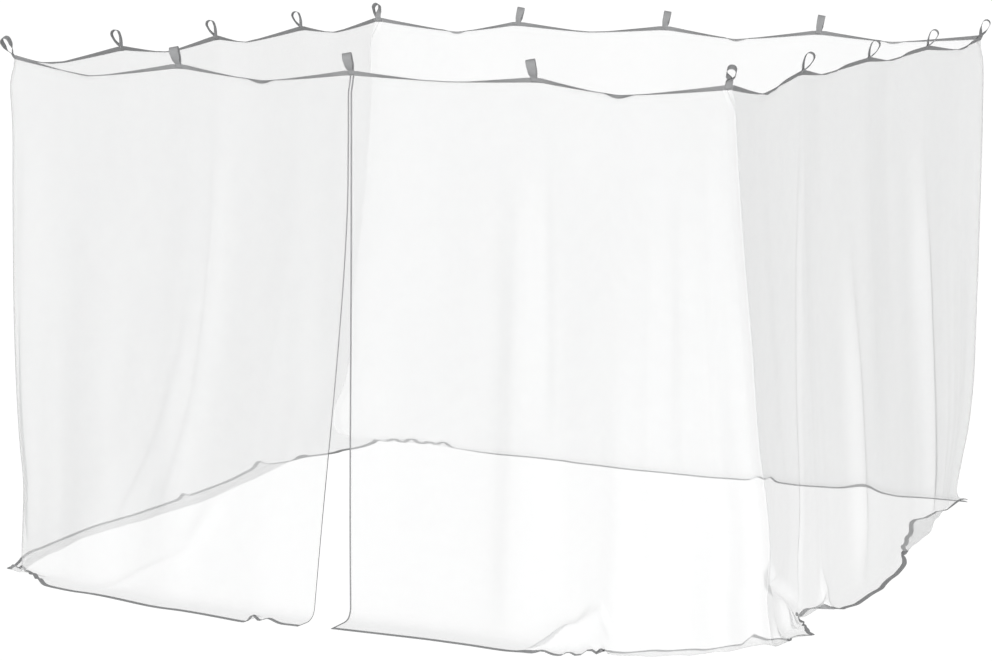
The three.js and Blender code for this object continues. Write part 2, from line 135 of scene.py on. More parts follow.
# Each corner's seam stands out as a ridge, or in if less than 0: how far, and over how much of the walls
CORNER_PINCH = {
    "front_left": (-6.0, 60.0), "front_right": (8.0, 18.0),
    "back_right": (-3.0, 40.0), "back_left": (14.0, 110.0),
}
CORNER_STARTS = 0.04  # share of the drop over which a corner comes to its edge
FOLD_FADES = (0.82, 0.98, 0.8)  # shares of the drop between which folds fade, and by how much
FOLD_CLEAR = 110.0

TURN = {"front": 0, "right": 90, "back": 180, "left": 270}
CORNERS = {
    "front": ("front_left", "front_right"),
    "right": ("front_right", "back_right"),
    "back": ("back_right", "back_left"),
    "left": ("back_left", "front_left"),
}

# The heading in each span: how far it sags, where along the span it is lowest, its turn there.
# Between the loops it lies flat, at the turn that EDGE_ON gives.
EDGE_ON = math.radians(86)
FLAT_AT = 0.75  # share of the way to its lowest place where it lies flat
TURNS_OVER = (0.8, 1.0)  # shares of that way between which it turns on
# How long it stays upright on the way up to the next loop; more is longer
STAYS_UPRIGHT = {"front": 1, "right": 5, "back": 1, "left": 1}
LOOK_AHEAD = 1.0  # along the side, which tells the way down from the way up
HEADING = {
    "front": [(41, 0.47, 92), (33, 0.48, 132), (11, 0.52, 88), (34, 0.43, 132)],
    "right": [(41, 0.5, 100), (16, 0.34, 92), (14, 0.39, 92), (26, 0.6, 92)],
    "back": [(22, 0.55, 125), (30, 0.53, 132), (19, 0.5, 88), (36, 0.42, 132)],
    "left": [(26, 0.59, 90), (23, 0.68, 95), (26, 0.54, 90), (24, 0.66, 80)],
}

# Place along the side, how far out the wall meets the floor there, and how far out the hem lies
FLOOR_LINE = {
    "front": [
        (0, -20, 20), (150, 20, 115), (430, 60, 180), (800, 120, 245), (1200, 150, 290),
        (1498.5, 125, 240), (1501.5, 60, 215), (2300, 75, 205), (2430, 92, 185), (2500, 95, 120),
        (2555, 102, 39), (2657, 62, -53), (2766, -20, -135), (2866, -130, -262), (2930, -205, -340),
        (3000, -270, -420),
    ],
    "right": [
        (0, 80, 104), (60, 78, 138), (110, 76, 172), (170, 76, 142), (320, 80, 102), (655, 84, 26),
        (818, 88, 16), (848, 90, 124), (916, 95, 165), (1014, 100, 195), (1255, 103, 189),
        (1481, 105, 170), (1659, 110, 164), (1836, 112, 102), (2018, 100, 28), (2200, 80, -23),
        (2508, 35, -83), (2598, 22, -49), (2722, 3, -41), (2768, -3, -2), (2921, -35, 16), (3000, -60, -20),
    ],
    "back": [
        (0, 20, -40), (72, 20, -75), (162, 20, -72), (311, 20, -92), (381, 22, -80), (505, 28, -25),
        (641, 18, -55), (774, 5, -74), (968, 5, -45), (1067, 5, -64), (1259, 5, -86), (1562, 5, -94),
        (1881, 5, -63), (1995, 8, -45), (2316, 30, -53), (2679, 42, 10), (2901, 35, 0), (3000, 30, -13),
    ],
    "left": [
        (0, 235, -20), (150, 190, 5), (320, 168, 50), (560, 150, 150), (810, 118, 245), (1190, 100, 215),
        (1520, 60, 205), (1900, 95, 225), (2160, 120, 250), (2400, 140, 238), (2650, 100, 225),
        (2800, 70, 212), (3000, 20, 150),
    ],
}
FOOT, HEM = 1, 2  # columns of this table

# How far each corner is moved at the floor, at the foot of the wall and at the hem
CORNER_SHIFT = {
    "front_left": {FOOT: (-12, 0), HEM: (-125, 45)},
    "front_right": {FOOT: (80, 270), HEM: (104, 420)},
    "back_right": {FOOT: (-55, 5), HEM: (14, -76)},
    "back_left": {FOOT: (-235, 5), HEM: (15, -28)},
}
# How far each corner's edge strays along X on its way down, at shares of the drop
CORNER_LINE = {
    "front_left": [
        (0, 0), (0.05, -12), (0.11, -6), (0.26, -12), (0.5, -18), (0.7, -4), (0.78, 10), (0.86, 2),
        (0.92, -6), (1, 0),
    ],
    "front_right": [
        (0, 0), (0.03, 16), (0.06, 16), (0.2, 16), (0.4, 16), (0.6, 8), (0.72, 18), (0.8, 10),
        (0.86, -7), (0.92, -2), (1, 0),
    ],
    "back_right": [
        (0, 0), (0.04, 8), (0.16, 14), (0.33, 22), (0.54, 35), (0.75, 41), (0.81, 32), (0.88, 10),
        (0.95, -8), (1, 0),
    ],
    "back_left": [
        (0, 0), (0.03, -25), (0.14, -21), (0.37, -8), (0.6, 9), (0.8, 24), (0.87, -30), (0.93, -60),
        (1, 0),
    ],
}
LINE_REACH = 1000.0
CORNER_PULL = {"front_left": 22.0, "front_right": 14.0, "back_right": 14.0, "back_left": 14.0}
CORNER_RISE = {"front_left": 16.0}  # hung higher than the other corners
RISE_REACH = 350.0
CORNER_LEAD = {"front_right": 0.25}  # share of the foot's shift that shows from the top on
DOOR_SHIFT = ((-10.0, -118.0), (-10.0, 5.0))  # left and right edge, under the heading and at the hem

# Long soft folds: side, place at the top and at the floor, how late they turn from one to the
# other, half width before and after, depth outwards, and the shares of the drop where they start
# and are full
FOLDS = [
    ("front", 2205, 2180, 1, 60, 110, 22, 0.05, 0.4), ("front", 2310, 2420, 1, 60, 170, -15, 0.05, 0.4),
    ("front", 2745, 2710, 1, 60, 22, -8, 0.1, 0.5), ("front", 640, 560, 1, 170, 170, -10, 0.05, 0.5),
    ("right", 775, 505, 1, 14, 34, -8, 0.05, 0.3), ("right", 1290, 1275, 1, 68, 50, 29, 0.25, 0.6),
    ("right", 2185, 2190, 1, 85, 62, 35, 0.1, 0.45),
    ("back", 620, 480, 1, 110, 110, 14, 0.05, 0.5), ("back", 2120, 2110, 1, 45, 130, 26, 0.1, 0.5),
    ("back", 2290, 2290, 1, 70, 45, -11, 0.1, 0.5),
    ("left", 1500, 2011, 3.8, 105, 34, 28, 0.05, 0.5), ("left", 1660, 2355, 4.1, 100, 40, 24, 0.4, 0.72),
    ("left", 1985, 2500, 4, 150, 110, 14, 0.4, 0.8), ("left", 760, 1296, 3, 60, 18, 6, 0.05, 0.4),
    ("left", 2900, 2890, 1, 150, 60, 34, 0.05, 0.4),
    ("left", 2865, 2850, 1, 170, 90, 34, 0.3, 0.75),
]

# Small folds off the floor: side, place at the hem, its slant upwards, half width, height, how far
# from the hem they are highest, how far they reach, and how far they stand out of the wall
LIFTS = [
    ("front", 45, 0, 20, 20, 0, 60, 0), ("front", 92, 0, 18, 24, 0, 60, 0),
    ("front", 140, 0, 18, 18, 0, 55, 0), ("front", 185, 0, 17, 20, 0, 55, 0),
    ("front", 232, 0, 20, 14, 0, 60, 0), ("front", 1268, 0, 26, 30, 0, 70, 0),
    ("front", 1350, 0, 42, 20, 0, 70, 0), ("front", 2290, 0.9, 38, 62, 95, 58, 52),
    ("front", 2330, 1.1, 70, 16, 140, 40, 22), ("front", 2895, 0, 16, 34, 0, 50, 0),
    ("front", 254, 1.84, 34, 12, 200, 90, 10), ("front", 626, 0.62, 40, 8, 430, 130, 14),
    ("front", 2352, 0, 22, 14, 0, 40, 0), ("front", 2432, 0, 15, 18, 0, 40, 0),
    ("front", 2482, 0, 14, 20, 0, 40, 0), ("front", 2524, 0, 14, 14, 0, 40, 0),
    ("right", 70, 0.1, 26, 16, 110, 90, 26), ("right", 700, -1.6, 44, 0, 330, 150, -42),
    ("right", 300, -0.3, 34, 18, 140, 110, 32), ("right", 200, 0.2, 24, 0, 90, 60, -24),
    ("right", 440, -0.7, 30, 10, 100, 90, 26), ("right", 560, 0, 60, 26, 0, 60, 0),
    ("right", 850, 0, 45, 20, 60, 80, 26), ("right", 1740, 0, 75, 22, 0, 90, 0),
    ("right", 2900, 0, 110, 26, 0, 70, 0),
    ("back", 480, 0, 80, 60, 105, 90, 0), ("back", 930, 0, 20, 22, 0, 60, 0),
    ("back", 990, 0, 26, 18, 0, 60, 0), ("back", 2640, 0, 32, 24, 0, 70, 0),
    ("back", 2720, 0, 24, 18, 0, 70, 0), ("back", 2810, 0, 30, 26, 0, 70, 0),
    ("back", 2900, 0, 26, 20, 0, 70, 0), ("left", 800, 0, 40, 24, 0, 70, 0),
    ("left", 1530, 0, 26, 18, 0, 60, 0),
]

# Slow ripples of the hanging mesh: wave length along the side, depth, slant
RIPPLES = [(410, 1.3, 0.8), (233, 0.6, -0.5)]
RIPPLE_RUN = 400.0  # how far a slant of 1 comes along the side over the whole drop
RIPPLE_GROWS = (0.02, 0.3)
RIPPLE_FADES = (0.9, 1)
RIPPLE_CLEAR = (40.0, 320.0)

# Grids: distances between columns and between rows near the floor, and rows on the wall
COLUMN_STEP = 13.0
COLUMN_LEAST = 1.0
FLOOR_BAND = 450.0
FLOOR_STEP = 9.0
WALL_ROWS = 58
CURVE_STEPS = (110, 24, 12)  # points of a line down the wall, round the bend and along the floor
HEADING_STATIONS, HEM_STATIONS, DOOR_STATIONS = 9, 5, 4  # points across each tape
STITCH_STATIONS, STITCH_ROW = 6, 1  # points across a tape for its stitches, and where they lie
NO_LENGTH = 1e-12

# Each panel's side, where it starts and ends along it, and which of the two is at the door
PANELS = {
    "front_left": ("front", 0.0, DOOR_AT - DOOR_HALF_GAP, "end"),
    "front_right": ("front", DOOR_AT + DOOR_HALF_GAP, SIDE, "start"),
    "right": ("right", 0.0, SIDE, None),
    "back": ("back", 0.0, SIDE, None),
    "left": ("left", 0.0, SIDE, None),
}

# Finishes: an even ground and what the threads add to it, and how much the surface shines; on the tape the
# threads add a painted shade, darker down between the ribs and lighter on their crowns
NET_FINISH, TAPE_FINISH, THREAD_FINISH = "sheer_white_mesh", "woven_grey_tape", "grey_sewing_thread"
NET_GROUND, NET_WEAVE, NET_SHINE = 0.93, 0.16, 0.15
TAPE_GROUND, TAPE_GROOVE_SHADE, TAPE_SHINE = 0.82, 0.22, 0.2
LIGHT_STOPPED = 0.6  # of the light that meets a thread; the rest is scattered on through the net
ASLANT_POWER, SQUARE_LEAST = -0.06, 0.08  # how fast the net closes as it is seen aslant
CLOTH_MAP = "cloth"

# Stage, in metres, with the lens in millimetres
CAMERA_AT = (5.268, -11.066, 0.764)
CAMERA_PITCH, CAMERA_TURN = math.radians(-9.39), math.radians(26.02)
CAMERA_LENS, CAMERA_SENSOR = 106.77, 36.0
CAMERA_SEES = 400.0
SHEER_LAYERS = 32  # that a ray of light may pass
LIGHT_TURN = math.radians(27.0)
FRONT_NARROW, ABOVE_NARROW = 8, 2
FLOOR_RADIUS, RIM_HEIGHT, FLOOR_GAP = 70.0, 30.0, 0.0003
FLOOR_RINGS = [  # shares of the radius and of the rim's height
    (0.25, 0.0), (0.55, 0.0), (0.8, 0.0), (0.92, 0.02), (0.98, 0.2), (1.0, 1.0),
]
FLOOR_SIDES = 96
FLOOR_GREY = 0.1


def smooth(value, low, high):
    """Eases from 0 at low to 1 at high."""
    share = np.clip((value - low) / (high - low), 0, 1)
    return share * share * (3 - 2 * share)


def bell(distance, width):
    """A soft hump, 1 at its middle."""
    return np.exp(-((distance / width) ** 2))


def mix(a, b, share):
    return a + (b - a) * share


def table_value(rows, at, column):
    """A table's column at places between its rows, eased from row to row."""
    rows = np.array(rows, float)
    upper = np.clip(np.searchsorted(rows[:, 0], at), 1, len(rows) - 1)
    a, b = rows[upper - 1], rows[upper]
    return mix(a[..., column], b[..., column], smooth(at, a[..., 0], b[..., 0]))


def curve_value(rows, at):
    """A smooth curve through the rows of a table."""
    place, value = np.array(rows, float).T
    slope = np.gradient(value, place)
    low = np.clip(np.searchsorted(place, at) - 1, 0, len(place) - 2)
    step = place[low + 1] - place[low]
    t = np.clip((at - place[low]) / step, 0, 1)
    return ((1 + 2 * t) * (1 - t) ** 2 * value[low] + t * (1 - t) ** 2 * step * slope[low]
            + t * t * (3 - 2 * t) * value[low + 1] + t * t * (t - 1) * step * slope[low + 1])


def bend_curve(start, middle, end, t):
    """A curve from start to end that is drawn towards middle."""
    return start * (1 - t) ** 2 + 2 * middle * t * (1 - t) + end * t ** 2


def run_length(points):
    """How far each point of a line is from its start, along the line."""
    return np.concatenate([[0], np.cumsum(np.linalg.norm(np.diff(points, axis=0), axis=1))])


def from_end(at):
    return np.minimum(at, SIDE - at)


def corner_distances(side, at):
    """Both corners of a side, each with how far places along the side are from it."""
    return zip(CORNERS[side], (at, SIDE - at))


def near_corners(side, at, values, reach):
    """A value for each corner that has one, at the corner's place and less and less along the side."""
    return sum(
        values.get(corner, 0.0) * (1 - np.clip((distance - CORNER_CUT) / (reach - CORNER_CUT), 0, 1))
        for corner, distance in corner_distances(side, at))


def plan_point(side, at):
    """The loop line in plan, cut off at both corners and drawn out towards them."""
    cut = np.maximum(0, CORNER_CUT - from_end(at)) / 2
    pull = near_corners(side, at, CORNER_PULL, SPAN)
    inwards = np.where(at < DOOR_AT, cut - pull, pull - cut)
    return np.stack([at - DOOR_AT + inwards, -DOOR_AT + cut - pull], -1)


def outward(at):
    """The way out of the net: square to the side, and turning to a slant round a corner."""
    angle = CORNER_SLANT * (1 - smooth(from_end(at), *CORNER_TURNS))
    return np.stack([np.where(at < DOOR_AT, -1, 1) * np.sin(angle), -np.cos(angle)], -1)


def heading_state(side, at):
    """Sag, turn, the share of the way from the loops to its lowest place, and of the sag there."""
    span = np.clip(np.floor(at / SPAN), 0, SPANS - 1).astype(int)
    sag, low, turn = np.array(HEADING[side], float)[span].T
    along, low = at - span * SPAN, low * SPAN
    falling = (along - CORNER_CUT) / (low - CORNER_CUT)
    rising = (SPAN - CORNER_CUT - along) / (SPAN - CORNER_CUT - low)
    share = np.clip(np.where(along < low, falling, rising), 0, 1)
    return sag, np.radians(turn), share, 1 - (1 - share) ** SAG_POWER


def heading_foot(side, at):
    """The heading's lower edge, which the net hangs from."""
    sag, _, _, dip = heading_state(side, at)
    back = HEADING_WIDTH * math.sin(LOOP_LEAN) + HEADING_BOW * dip
    plan = plan_point(side, at) - outward(at) * back[:, None]
    height = ROOT_Z - HEADING_WIDTH * math.cos(LOOP_LEAN) - sag * dip
    height = height + near_corners(side, at, CORNER_RISE, RISE_REACH)
    return np.column_stack([plan, height])


def heading_across(side, at, widths):
    """Points across the heading at widths from its lower edge, turning over as the tape does."""
    _, turn, share, _ = heading_state(side, at)
    ahead = heading_state(side, np.minimum(at + LOOK_AHEAD, SIDE))[2]
    flat = np.clip(share / FLAT_AT, 0, 1) ** np.where(ahead < share, STAYS_UPRIGHT[side], 1)
    top_angle = np.arccos(mix(math.cos(LOOP_LEAN), math.cos(EDGE_ON), flat))
    top_angle = top_angle + (turn - EDGE_ON) * smooth(share, *TURNS_OVER)
    low_angle = (LOOP_LEAN + top_angle) / 2
    point, out, last = heading_foot(side, at), outward(at), 0.0
    stations = []
    for width in widths:
        angle = mix(low_angle, top_angle, smooth((width + last) / 2, 0, 2 * HEADING_FOLD))
        reach = (np.sin(angle) * (width - last))[:, None] * out
        point = point + np.column_stack([reach, np.cos(angle) * (width - last)])
        last = width
        stations.append(point)
    return np.stack(stations, 1)


def floor_shift(side, at, column):
    """How far the foot or the hem is moved from the loop line."""
    angle = -math.radians(TURN[side])
    shift = np.stack([np.zeros_like(at), -table_value(FLOOR_LINE[side], at, column)], -1)
    for corner, distance in corner_distances(side, at):
        x, y = CORNER_SHIFT[corner][column]
        along = x * math.cos(angle) - y * math.sin(angle)
        out = x * math.sin(angle) + y * math.cos(angle)
        shift[:, 0] += along * (1 - smooth(distance, CORNER_CUT, ALONG_REACH))
        shift[:, 1] = mix(out, shift[:, 1], smooth(distance, CORNER_CUT, OUT_REACH[corner]))
    return shift


def hanging_lines(side, at):
    """Lines of the net from the heading down to the floor and along it to the hem, and how far they run."""
    top = heading_foot(side, at)
    top[:, 2] -= TAPE_THICK / 2 + TAPE_GAP
    foot, hem, upper, lower = top.copy(), top.copy(), top.copy(), top.copy()
    foot[:, :2] += floor_shift(side, at, FOOT)
    hem[:, :2] += floor_shift(side, at, HEM)
    foot[:, 2] = hem[:, 2] = LIE_Z
    spread = np.linalg.norm(foot - hem, axis=1)
    bend_start = foot.copy()
    radius = table_value(BEND_RADIUS[side], at, 1)
    bend_start[:, 2] = LIE_Z + radius
    bend_end = mix(foot, hem, (np.minimum(radius, BEND_SHARE * spread) / spread)[:, None])
    foot[:, 2] += np.maximum(0, radius - spread) / 2
    drop = top[:, 2] - LIE_Z
    upper[:, 2] -= PLUMB_SHARE * drop
    lead = sum(CORNER_LEAD.get(corner, 0) * (1 - smooth(distance, CORNER_CUT, ALONG_REACH))
               for corner, distance in corner_distances(side, at))
    upper[:, :2] += np.reshape(lead, (-1, 1)) * (foot - top)[:, :2]
    lower[:, :2] = mix(top[:, :2], foot[:, :2], SLOPE_DRAW)
    lower[:, 2] = LIE_Z + SLOPE_SHARE * drop
    wall, bend, flat = (np.linspace(0, 1, steps)[None, :, None] for steps in CURVE_STEPS)
    top, upper, lower, bend_start, foot, bend_end, hem = (
        p[:, None] for p in (top, upper, lower, bend_start, foot, bend_end, hem))
    line = np.concatenate([
        top * (1 - wall) ** 3 + 3 * upper * wall * (1 - wall) ** 2
        + 3 * lower * wall ** 2 * (1 - wall) + bend_start * wall ** 3,
        bend_curve(bend_start, foot, bend_end, bend)[:, 1:],
        mix(bend_end, hem, flat)[:, 1:],
    ], 1)
    steps = np.linalg.norm(np.diff(line, axis=1), axis=2)
    return line, np.concatenate([np.zeros((len(at), 1)), np.cumsum(steps, 1)], 1)


def lopsided_bell(distance, before, after):
    return bell(distance, np.where(distance < 0, before, after))


def fold_depth(side, at, down):
    """How far the folds push the net outwards, at a share of the way down from the heading."""
    to_loop = np.abs(at - np.round(at / SPAN) * SPAN)
    ridge = RIDGE_DEPTH * smooth(down, 0, RIDGE_GROWS) * (1 - RIDGE_FADES * down)
    folds = sum(depth * lopsided_bell(at - mix(top, foot, down ** late), before, after)
                * smooth(down, starts, full)
                for owner, top, foot, late, before, after, depth, starts, full in FOLDS if owner == side)
    start, end, loss = FOLD_FADES
    kept = 1 - loss * smooth(down, start, end)
    ripple = sum(depth * np.sin(2 * math.pi * (at + slant * RIPPLE_RUN * down) / wave + TURN[side])
                 for wave, depth, slant in RIPPLES)
    shows = smooth(down, *RIPPLE_GROWS) * (1 - smooth(down, *RIPPLE_FADES))
    return (ridge * bell(to_loop, RIDGE_WIDTH)
            + kept * folds * smooth(from_end(at), CORNER_CUT, FOLD_CLEAR)
            + ripple * shows * smooth(from_end(at), *RIPPLE_CLEAR))


def lift_shape(side, at, above_hem):
    """How far the small folds raise the net and push it outwards, at a distance from the hem."""
    rise, push = np.zeros(above_hem.shape), np.zeros(above_hem.shape)
    for owner, place, slant, width, height, start, reach, out in LIFTS:
        if owner == side:
            near = bell(at - place - slant * above_hem, width)
            rise += height * near * bell(above_hem - start, reach)
            push += out * near * bell(above_hem - start, reach)
    return rise, push


def corner_stray(side, at, down):
    """How far the corners' edges stray from a straight drop, and the wall beside them less and less."""
    angle = -math.radians(TURN[side])
    stray = np.zeros((*down.shape, 2))
    for corner, distance in corner_distances(side, at):
        reach = curve_value(CORNER_LINE[corner], down) * (1 - smooth(distance, CORNER_CUT, LINE_REACH))
        stray += reach[..., None] * [math.cos(angle), math.sin(angle)]
    return stray


def door_parting(at, down):
    """How far the wall by the door slit is drawn along the side as the slit's edges part."""
    (left_top, left_foot), (right_top, right_foot) = DOOR_SHIFT
    near = 1 - smooth(np.abs(at - DOOR_AT), 0, DOOR_REACH)
    parted = np.clip((down - DOOR_PARTS) / (1 - DOOR_PARTS), 0, 1) ** DOOR_CURVE
    edge = np.where(at < DOOR_AT, mix(left_top, left_foot, parted), mix(right_top, right_foot, parted))
    return edge * smooth(down, 0, DOOR_STARTS) * near


def wall_points(side, at, rows):
    """Points at places along a side, and how far from the hem they are; rows gives that for a length."""
    line, run = hanging_lines(side, at)
    length = run[:, -1]
    above = np.stack([rows(total) for total in length])
    points = np.stack([
        np.column_stack([np.interp(total - up, way, path[:, axis]) for axis in range(3)])
        for total, up, way, path in zip(length, above, run, line)])
    down = 1 - above / length[:, None]
    at = at[:, None]
    rise, push = lift_shape(side, at, above)
    points[..., :2] += outward(at[:, 0])[:, None] * (fold_depth(side, at, down) + push)[..., None]
    points[..., :2] += corner_stray(side, at, down)
    points[..., 2] += rise
    out = np.maximum(0, CORNER_CUT - from_end(at)) / 2
    for corner, distance in corner_distances(side, at):
        depth, reach = CORNER_PINCH[corner]
        out = out + depth * np.maximum(0, 1 - distance / reach) ** 2
    out = out * smooth(down, 0, CORNER_STARTS)
    points[..., 0] += np.where(at < DOOR_AT, -out, out)
    points[..., 1] -= out
    if side == "front":
        points[..., 0] += door_parting(at, down)
    return points, above


def turned(points, side):
    """Points of a side in their place round the net, in metres."""
    angle = math.radians(TURN[side])
    c, s = math.cos(angle), math.sin(angle)
    return points @ np.array([[c, s, 0], [-s, c, 0], [0, 0, 1]]) * MM


def columns(start, end):
    """Places along a side, closer together round its corners."""
    count = max(2, round((end - start) / COLUMN_STEP))
    corner = np.arange(0, 2 * CORNER_CUT, CORNER_CUT / 4)
    places = np.concatenate([np.linspace(start, end, count), corner, SIDE - corner])
    places = np.unique(np.clip(places, start, end))
    return places[np.concatenate([[True], np.diff(places) > COLUMN_LEAST])]


def net_rows(lowest):
    """Distances from the hem for one line, from the heading down to a lowest row."""
    def rows(length):
        wall = np.linspace(length, FLOOR_BAND, WALL_ROWS, endpoint=False)
        return np.concatenate([wall, np.arange(FLOOR_BAND, lowest, -FLOOR_STEP), [lowest]])
    return rows


def grid_normals(points):
    """The way that each point of a grid faces."""
    along = np.gradient(points, axis=0)
    across = np.gradient(points, axis=1)
    normal = np.cross(across, along)
    return normal / np.maximum(np.linalg.norm(normal, axis=2, keepdims=True), NO_LENGTH)


def new_object(name, vertices, faces, uvs=None, edges=()):
    """A mesh object at the origin, shaded smooth, with a UV map in metres if uvs are given."""
    mesh = bpy.data.meshes.new(name)
    mesh.from_pydata(np.asarray(vertices).tolist(), edges, [list(map(int, face)) for face in faces])
    mesh.validate()
    mesh.polygons.foreach_set("use_smooth", [True] * len(mesh.polygons))
    if uvs is not None:
        layer = mesh.uv_layers.new(name=CLOTH_MAP)
        index = np.zeros(len(mesh.loops), np.int32)
        mesh.loops.foreach_get("vertex_index", index)
        layer.data.foreach_set("uv", np.asarray(uvs, np.float32)[index].ravel())
    mesh.update()
    piece = bpy.data.objects.new(name, mesh)
    bpy.context.scene.collection.objects.link(piece)
    return piece


def mark_points(mesh, **marks):
    """Keeps a number or a vector for each point of a mesh, under a name that a node tree reads."""
    for name, values in marks.items():
        values = np.asarray(values, float)
        kind, field = ("FLOAT", "value") if values.ndim == 1 else ("FLOAT_VECTOR", "vector")
        mesh.attributes.new(name, kind, "POINT").data.foreach_set(field, values.ravel())


def face_out(piece):
    """Turns a closed piece's faces outwards."""
    mesh = piece.data
    points = np.zeros(len(mesh.vertices) * 3, np.float32)
    mesh.vertices.foreach_get("co", points)
    points = points.reshape(-1, 3).astype(float)
    mesh.calc_loop_triangles()
    corners = np.zeros(len(mesh.loop_triangles) * 3, np.int32)
    mesh.loop_triangles.foreach_get("vertices", corners)
    a, b, c = points[corners.reshape(-1, 3)].transpose(1, 0, 2)
    if np.einsum("ij,ij->i", a, np.cross(b, c)).sum() < 0:
        mesh.flip_normals()


def sheet_piece(name, points, uvs):
    """A thin sheet on a grid of points."""
    wide, tall = points.shape[:2]
    c, r = np.meshgrid(np.arange(wide - 1), np.arange(tall - 1), indexing="ij")
    first = (c * tall + r).ravel()
    faces = np.stack([first, first + 1, first + tall + 1, first + tall], 1)
    return new_object(name, points.reshape(-1, 3), faces, uvs.reshape(-1, 2))


def tube_piece(name, rings, along, around):
    """A closed tube through rings of points, with flat ends; along and around lay out its UV map."""
    count, sides = rings.shape[:2]
    faces = []
    for i in range(count - 1):
        for j in range(sides):
            k = (j + 1) % sides
            faces.append((i * sides + j, i * sides + k, (i + 1) * sides + k, (i + 1) * sides + j))
    faces.append(tuple(range(sides - 1, -1, -1)))
    faces.append(tuple(range((count - 1) * sides, count * sides)))
    uvs = np.stack(np.meshgrid(along, around, indexing="ij"), -1).reshape(-1, 2)
    piece = new_object(name, rings.reshape(-1, 3), faces, uvs)
    face_out(piece)
    return piece


def tape_piece(name, stations):
    """A tape folded over an edge: two plies joined along station 0, with a slot at the last station."""
    across = stations.shape[1]
    normals = grid_normals(stations)
    half, slot = TAPE_THICK / 2 * MM, TAPE_SLOT * MM
    way_out = stations[:, 0] - stations[:, 1]
    way_out /= np.linalg.norm(way_out, axis=1, keepdims=True)
    ring = [stations[:, i] + normals[:, i] * half for i in range(across - 1, -1, -1)]
    ring[-1] = ring[-1] - way_out * half
    ring.append(stations[:, 0])
    ring += [stations[:, i] - normals[:, i] * half for i in range(across)]
    ring[across + 1] = ring[across + 1] - way_out * half
    ring += [stations[:, i] - normals[:, i] * slot for i in (across - 1, 1)]
    ring += [stations[:, i] + normals[:, i] * slot for i in (1, across - 1)]
    rings = np.stack(ring, 1)
    return tube_piece(name, rings, run_length(stations[:, 0]), run_length(rings[0]))


def finish_piece(piece, material, nodes):
    """Gives a piece its material, sets it under its body and hides the nodes that it stands for."""
    if not piece.data.materials:
        piece.data.materials.append(material)
    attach(piece, ROOT)
    if nodes:
        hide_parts(*nodes)


class NetSizes(PropertyGroup):
    """Sizes of the threads, the stitches and the loops."""

    mesh_pitch: FloatProperty(
        name="Mesh pitch", description="From one thread of the net to the next",
        default=0.0016, unit="LENGTH", precision=4)
    tape_pitch: FloatProperty(
        name="Tape pitch", description="From one rib of the woven tape to the next",
        default=0.0011, unit="LENGTH", precision=4)
    loop_width: FloatProperty(
        name="Loop width", description="Width of a loop's tape at the top of its eye",
        default=0.034, unit="LENGTH", precision=4)
    loop_root: FloatProperty(
        name="Loop root", description="Width of a loop's tape where it is sewn down",
        default=0.026, unit="LENGTH", precision=4)
    stitch_length: FloatProperty(
        name="Stitch length", description="Length of thread that shows in one stitch",
        default=0.0042, unit="LENGTH", precision=4)
    stitch_pitch: FloatProperty(
        name="Stitch pitch", description="From one stitch to the next",
        default=0.0062, unit="LENGTH", precision=4)
    stitch_width: FloatProperty(
        name="Thread width", description="Width of the sewing thread",
        default=0.0009, unit="LENGTH", precision=4)


class NetColours(PropertyGroup):
    """Colours of the cloth and how much of it is thread."""

    net: FloatVectorProperty(
        name="Net", description="Colour of the mesh's threads", subtype="COLOR",
        size=3, min=0, max=1, default=(0.875, 0.88, 0.88))
    tape: FloatVectorProperty(
        name="Tape", description="Colour of the woven tape", subtype="COLOR",
        size=3, min=0, max=1, default=(0.36, 0.363, 0.368))
    thread: FloatVectorProperty(
        name="Sewing thread", description="Colour of the stitches", subtype="COLOR",
        size=3, min=0, max=1, default=(0.40, 0.40, 0.41))
    cover: FloatProperty(
        name="Cover", description="Share of the net that is thread, seen square on",
        subtype="FACTOR", min=0.02, max=0.95, default=0.335)


class StudioLevels(PropertyGroup):
    """Levels of the studio's light."""

    all_round: FloatProperty(
        name="All round", description="Light from every side", min=0, default=0.08)
    front_back: FloatProperty(
        name="Front and back", description="Light from the camera's side and from behind",
        min=0, default=4.32)
    above_below: FloatProperty(
        name="Above and below", description="Light from above and from below", min=0, default=0.61)
    floor: FloatProperty(
        name="Floor", description="How bright the pale floor is", min=0, default=0.98)


def socket(group, name, kind, direction, default=None):
    made = group.interface.new_socket(name=name, in_out=direction, socket_type=kind)
    if default is not None:
        made.default_value = default


class NodeMaker:
    """Adds nodes to a tree and joins them in short lines."""

    def __init__(self, tree):
        self.tree = tree

    def feed(self, node, inputs):
        """Joins a node's inputs to other nodes' outputs, or sets them to values."""
        for name, value in inputs.items():
            if isinstance(value, bpy.types.NodeSocket):
                self.tree.links.new(value, node.inputs[name])
            else:
                node.inputs[name].default_value = value
        return node

    def add(self, kind, inputs=None, **settings):
        node = self.tree.nodes.new(kind)
        for name, value in settings.items():
            setattr(node, name, value)
        return self.feed(node, inputs or {})

    def math(self, operation, a, b=0.0, c=0.0, clamp=False):
        node = self.add("ShaderNodeMath", {0: a, 1: b, 2: c}, operation=operation, use_clamp=clamp)
        return node.outputs[0]

    def vector(self, operation, a, b=(0.0, 0.0, 0.0), scale=1.0):
        node = self.add("ShaderNodeVectorMath", {0: a, 1: b, 3: scale}, operation=operation)
        return node.outputs["Value" if operation == "DOT_PRODUCT" else "Vector"]

    def ease(self, value, between, start, end):
        """Eases from start to end between two values."""
        low, high = between
        node = self.add("ShaderNodeMapRange", {"Value": value, 1: low, 2: high, 3: start, 4: end},
                        interpolation_type="SMOOTHSTEP")
        return node.outputs[0]

    def mark(self, name, kind="FLOAT"):
        """What mark_points kept under a name."""
        node = self.add("GeometryNodeInputNamedAttribute", {"Name": name}, data_type=kind)
        return node.outputs["Attribute"]

    def effect(self, group, inputs):
        """A shared effect, with this material's own values."""
        return self.add("ShaderNodeGroup", inputs, node_tree=group).outputs


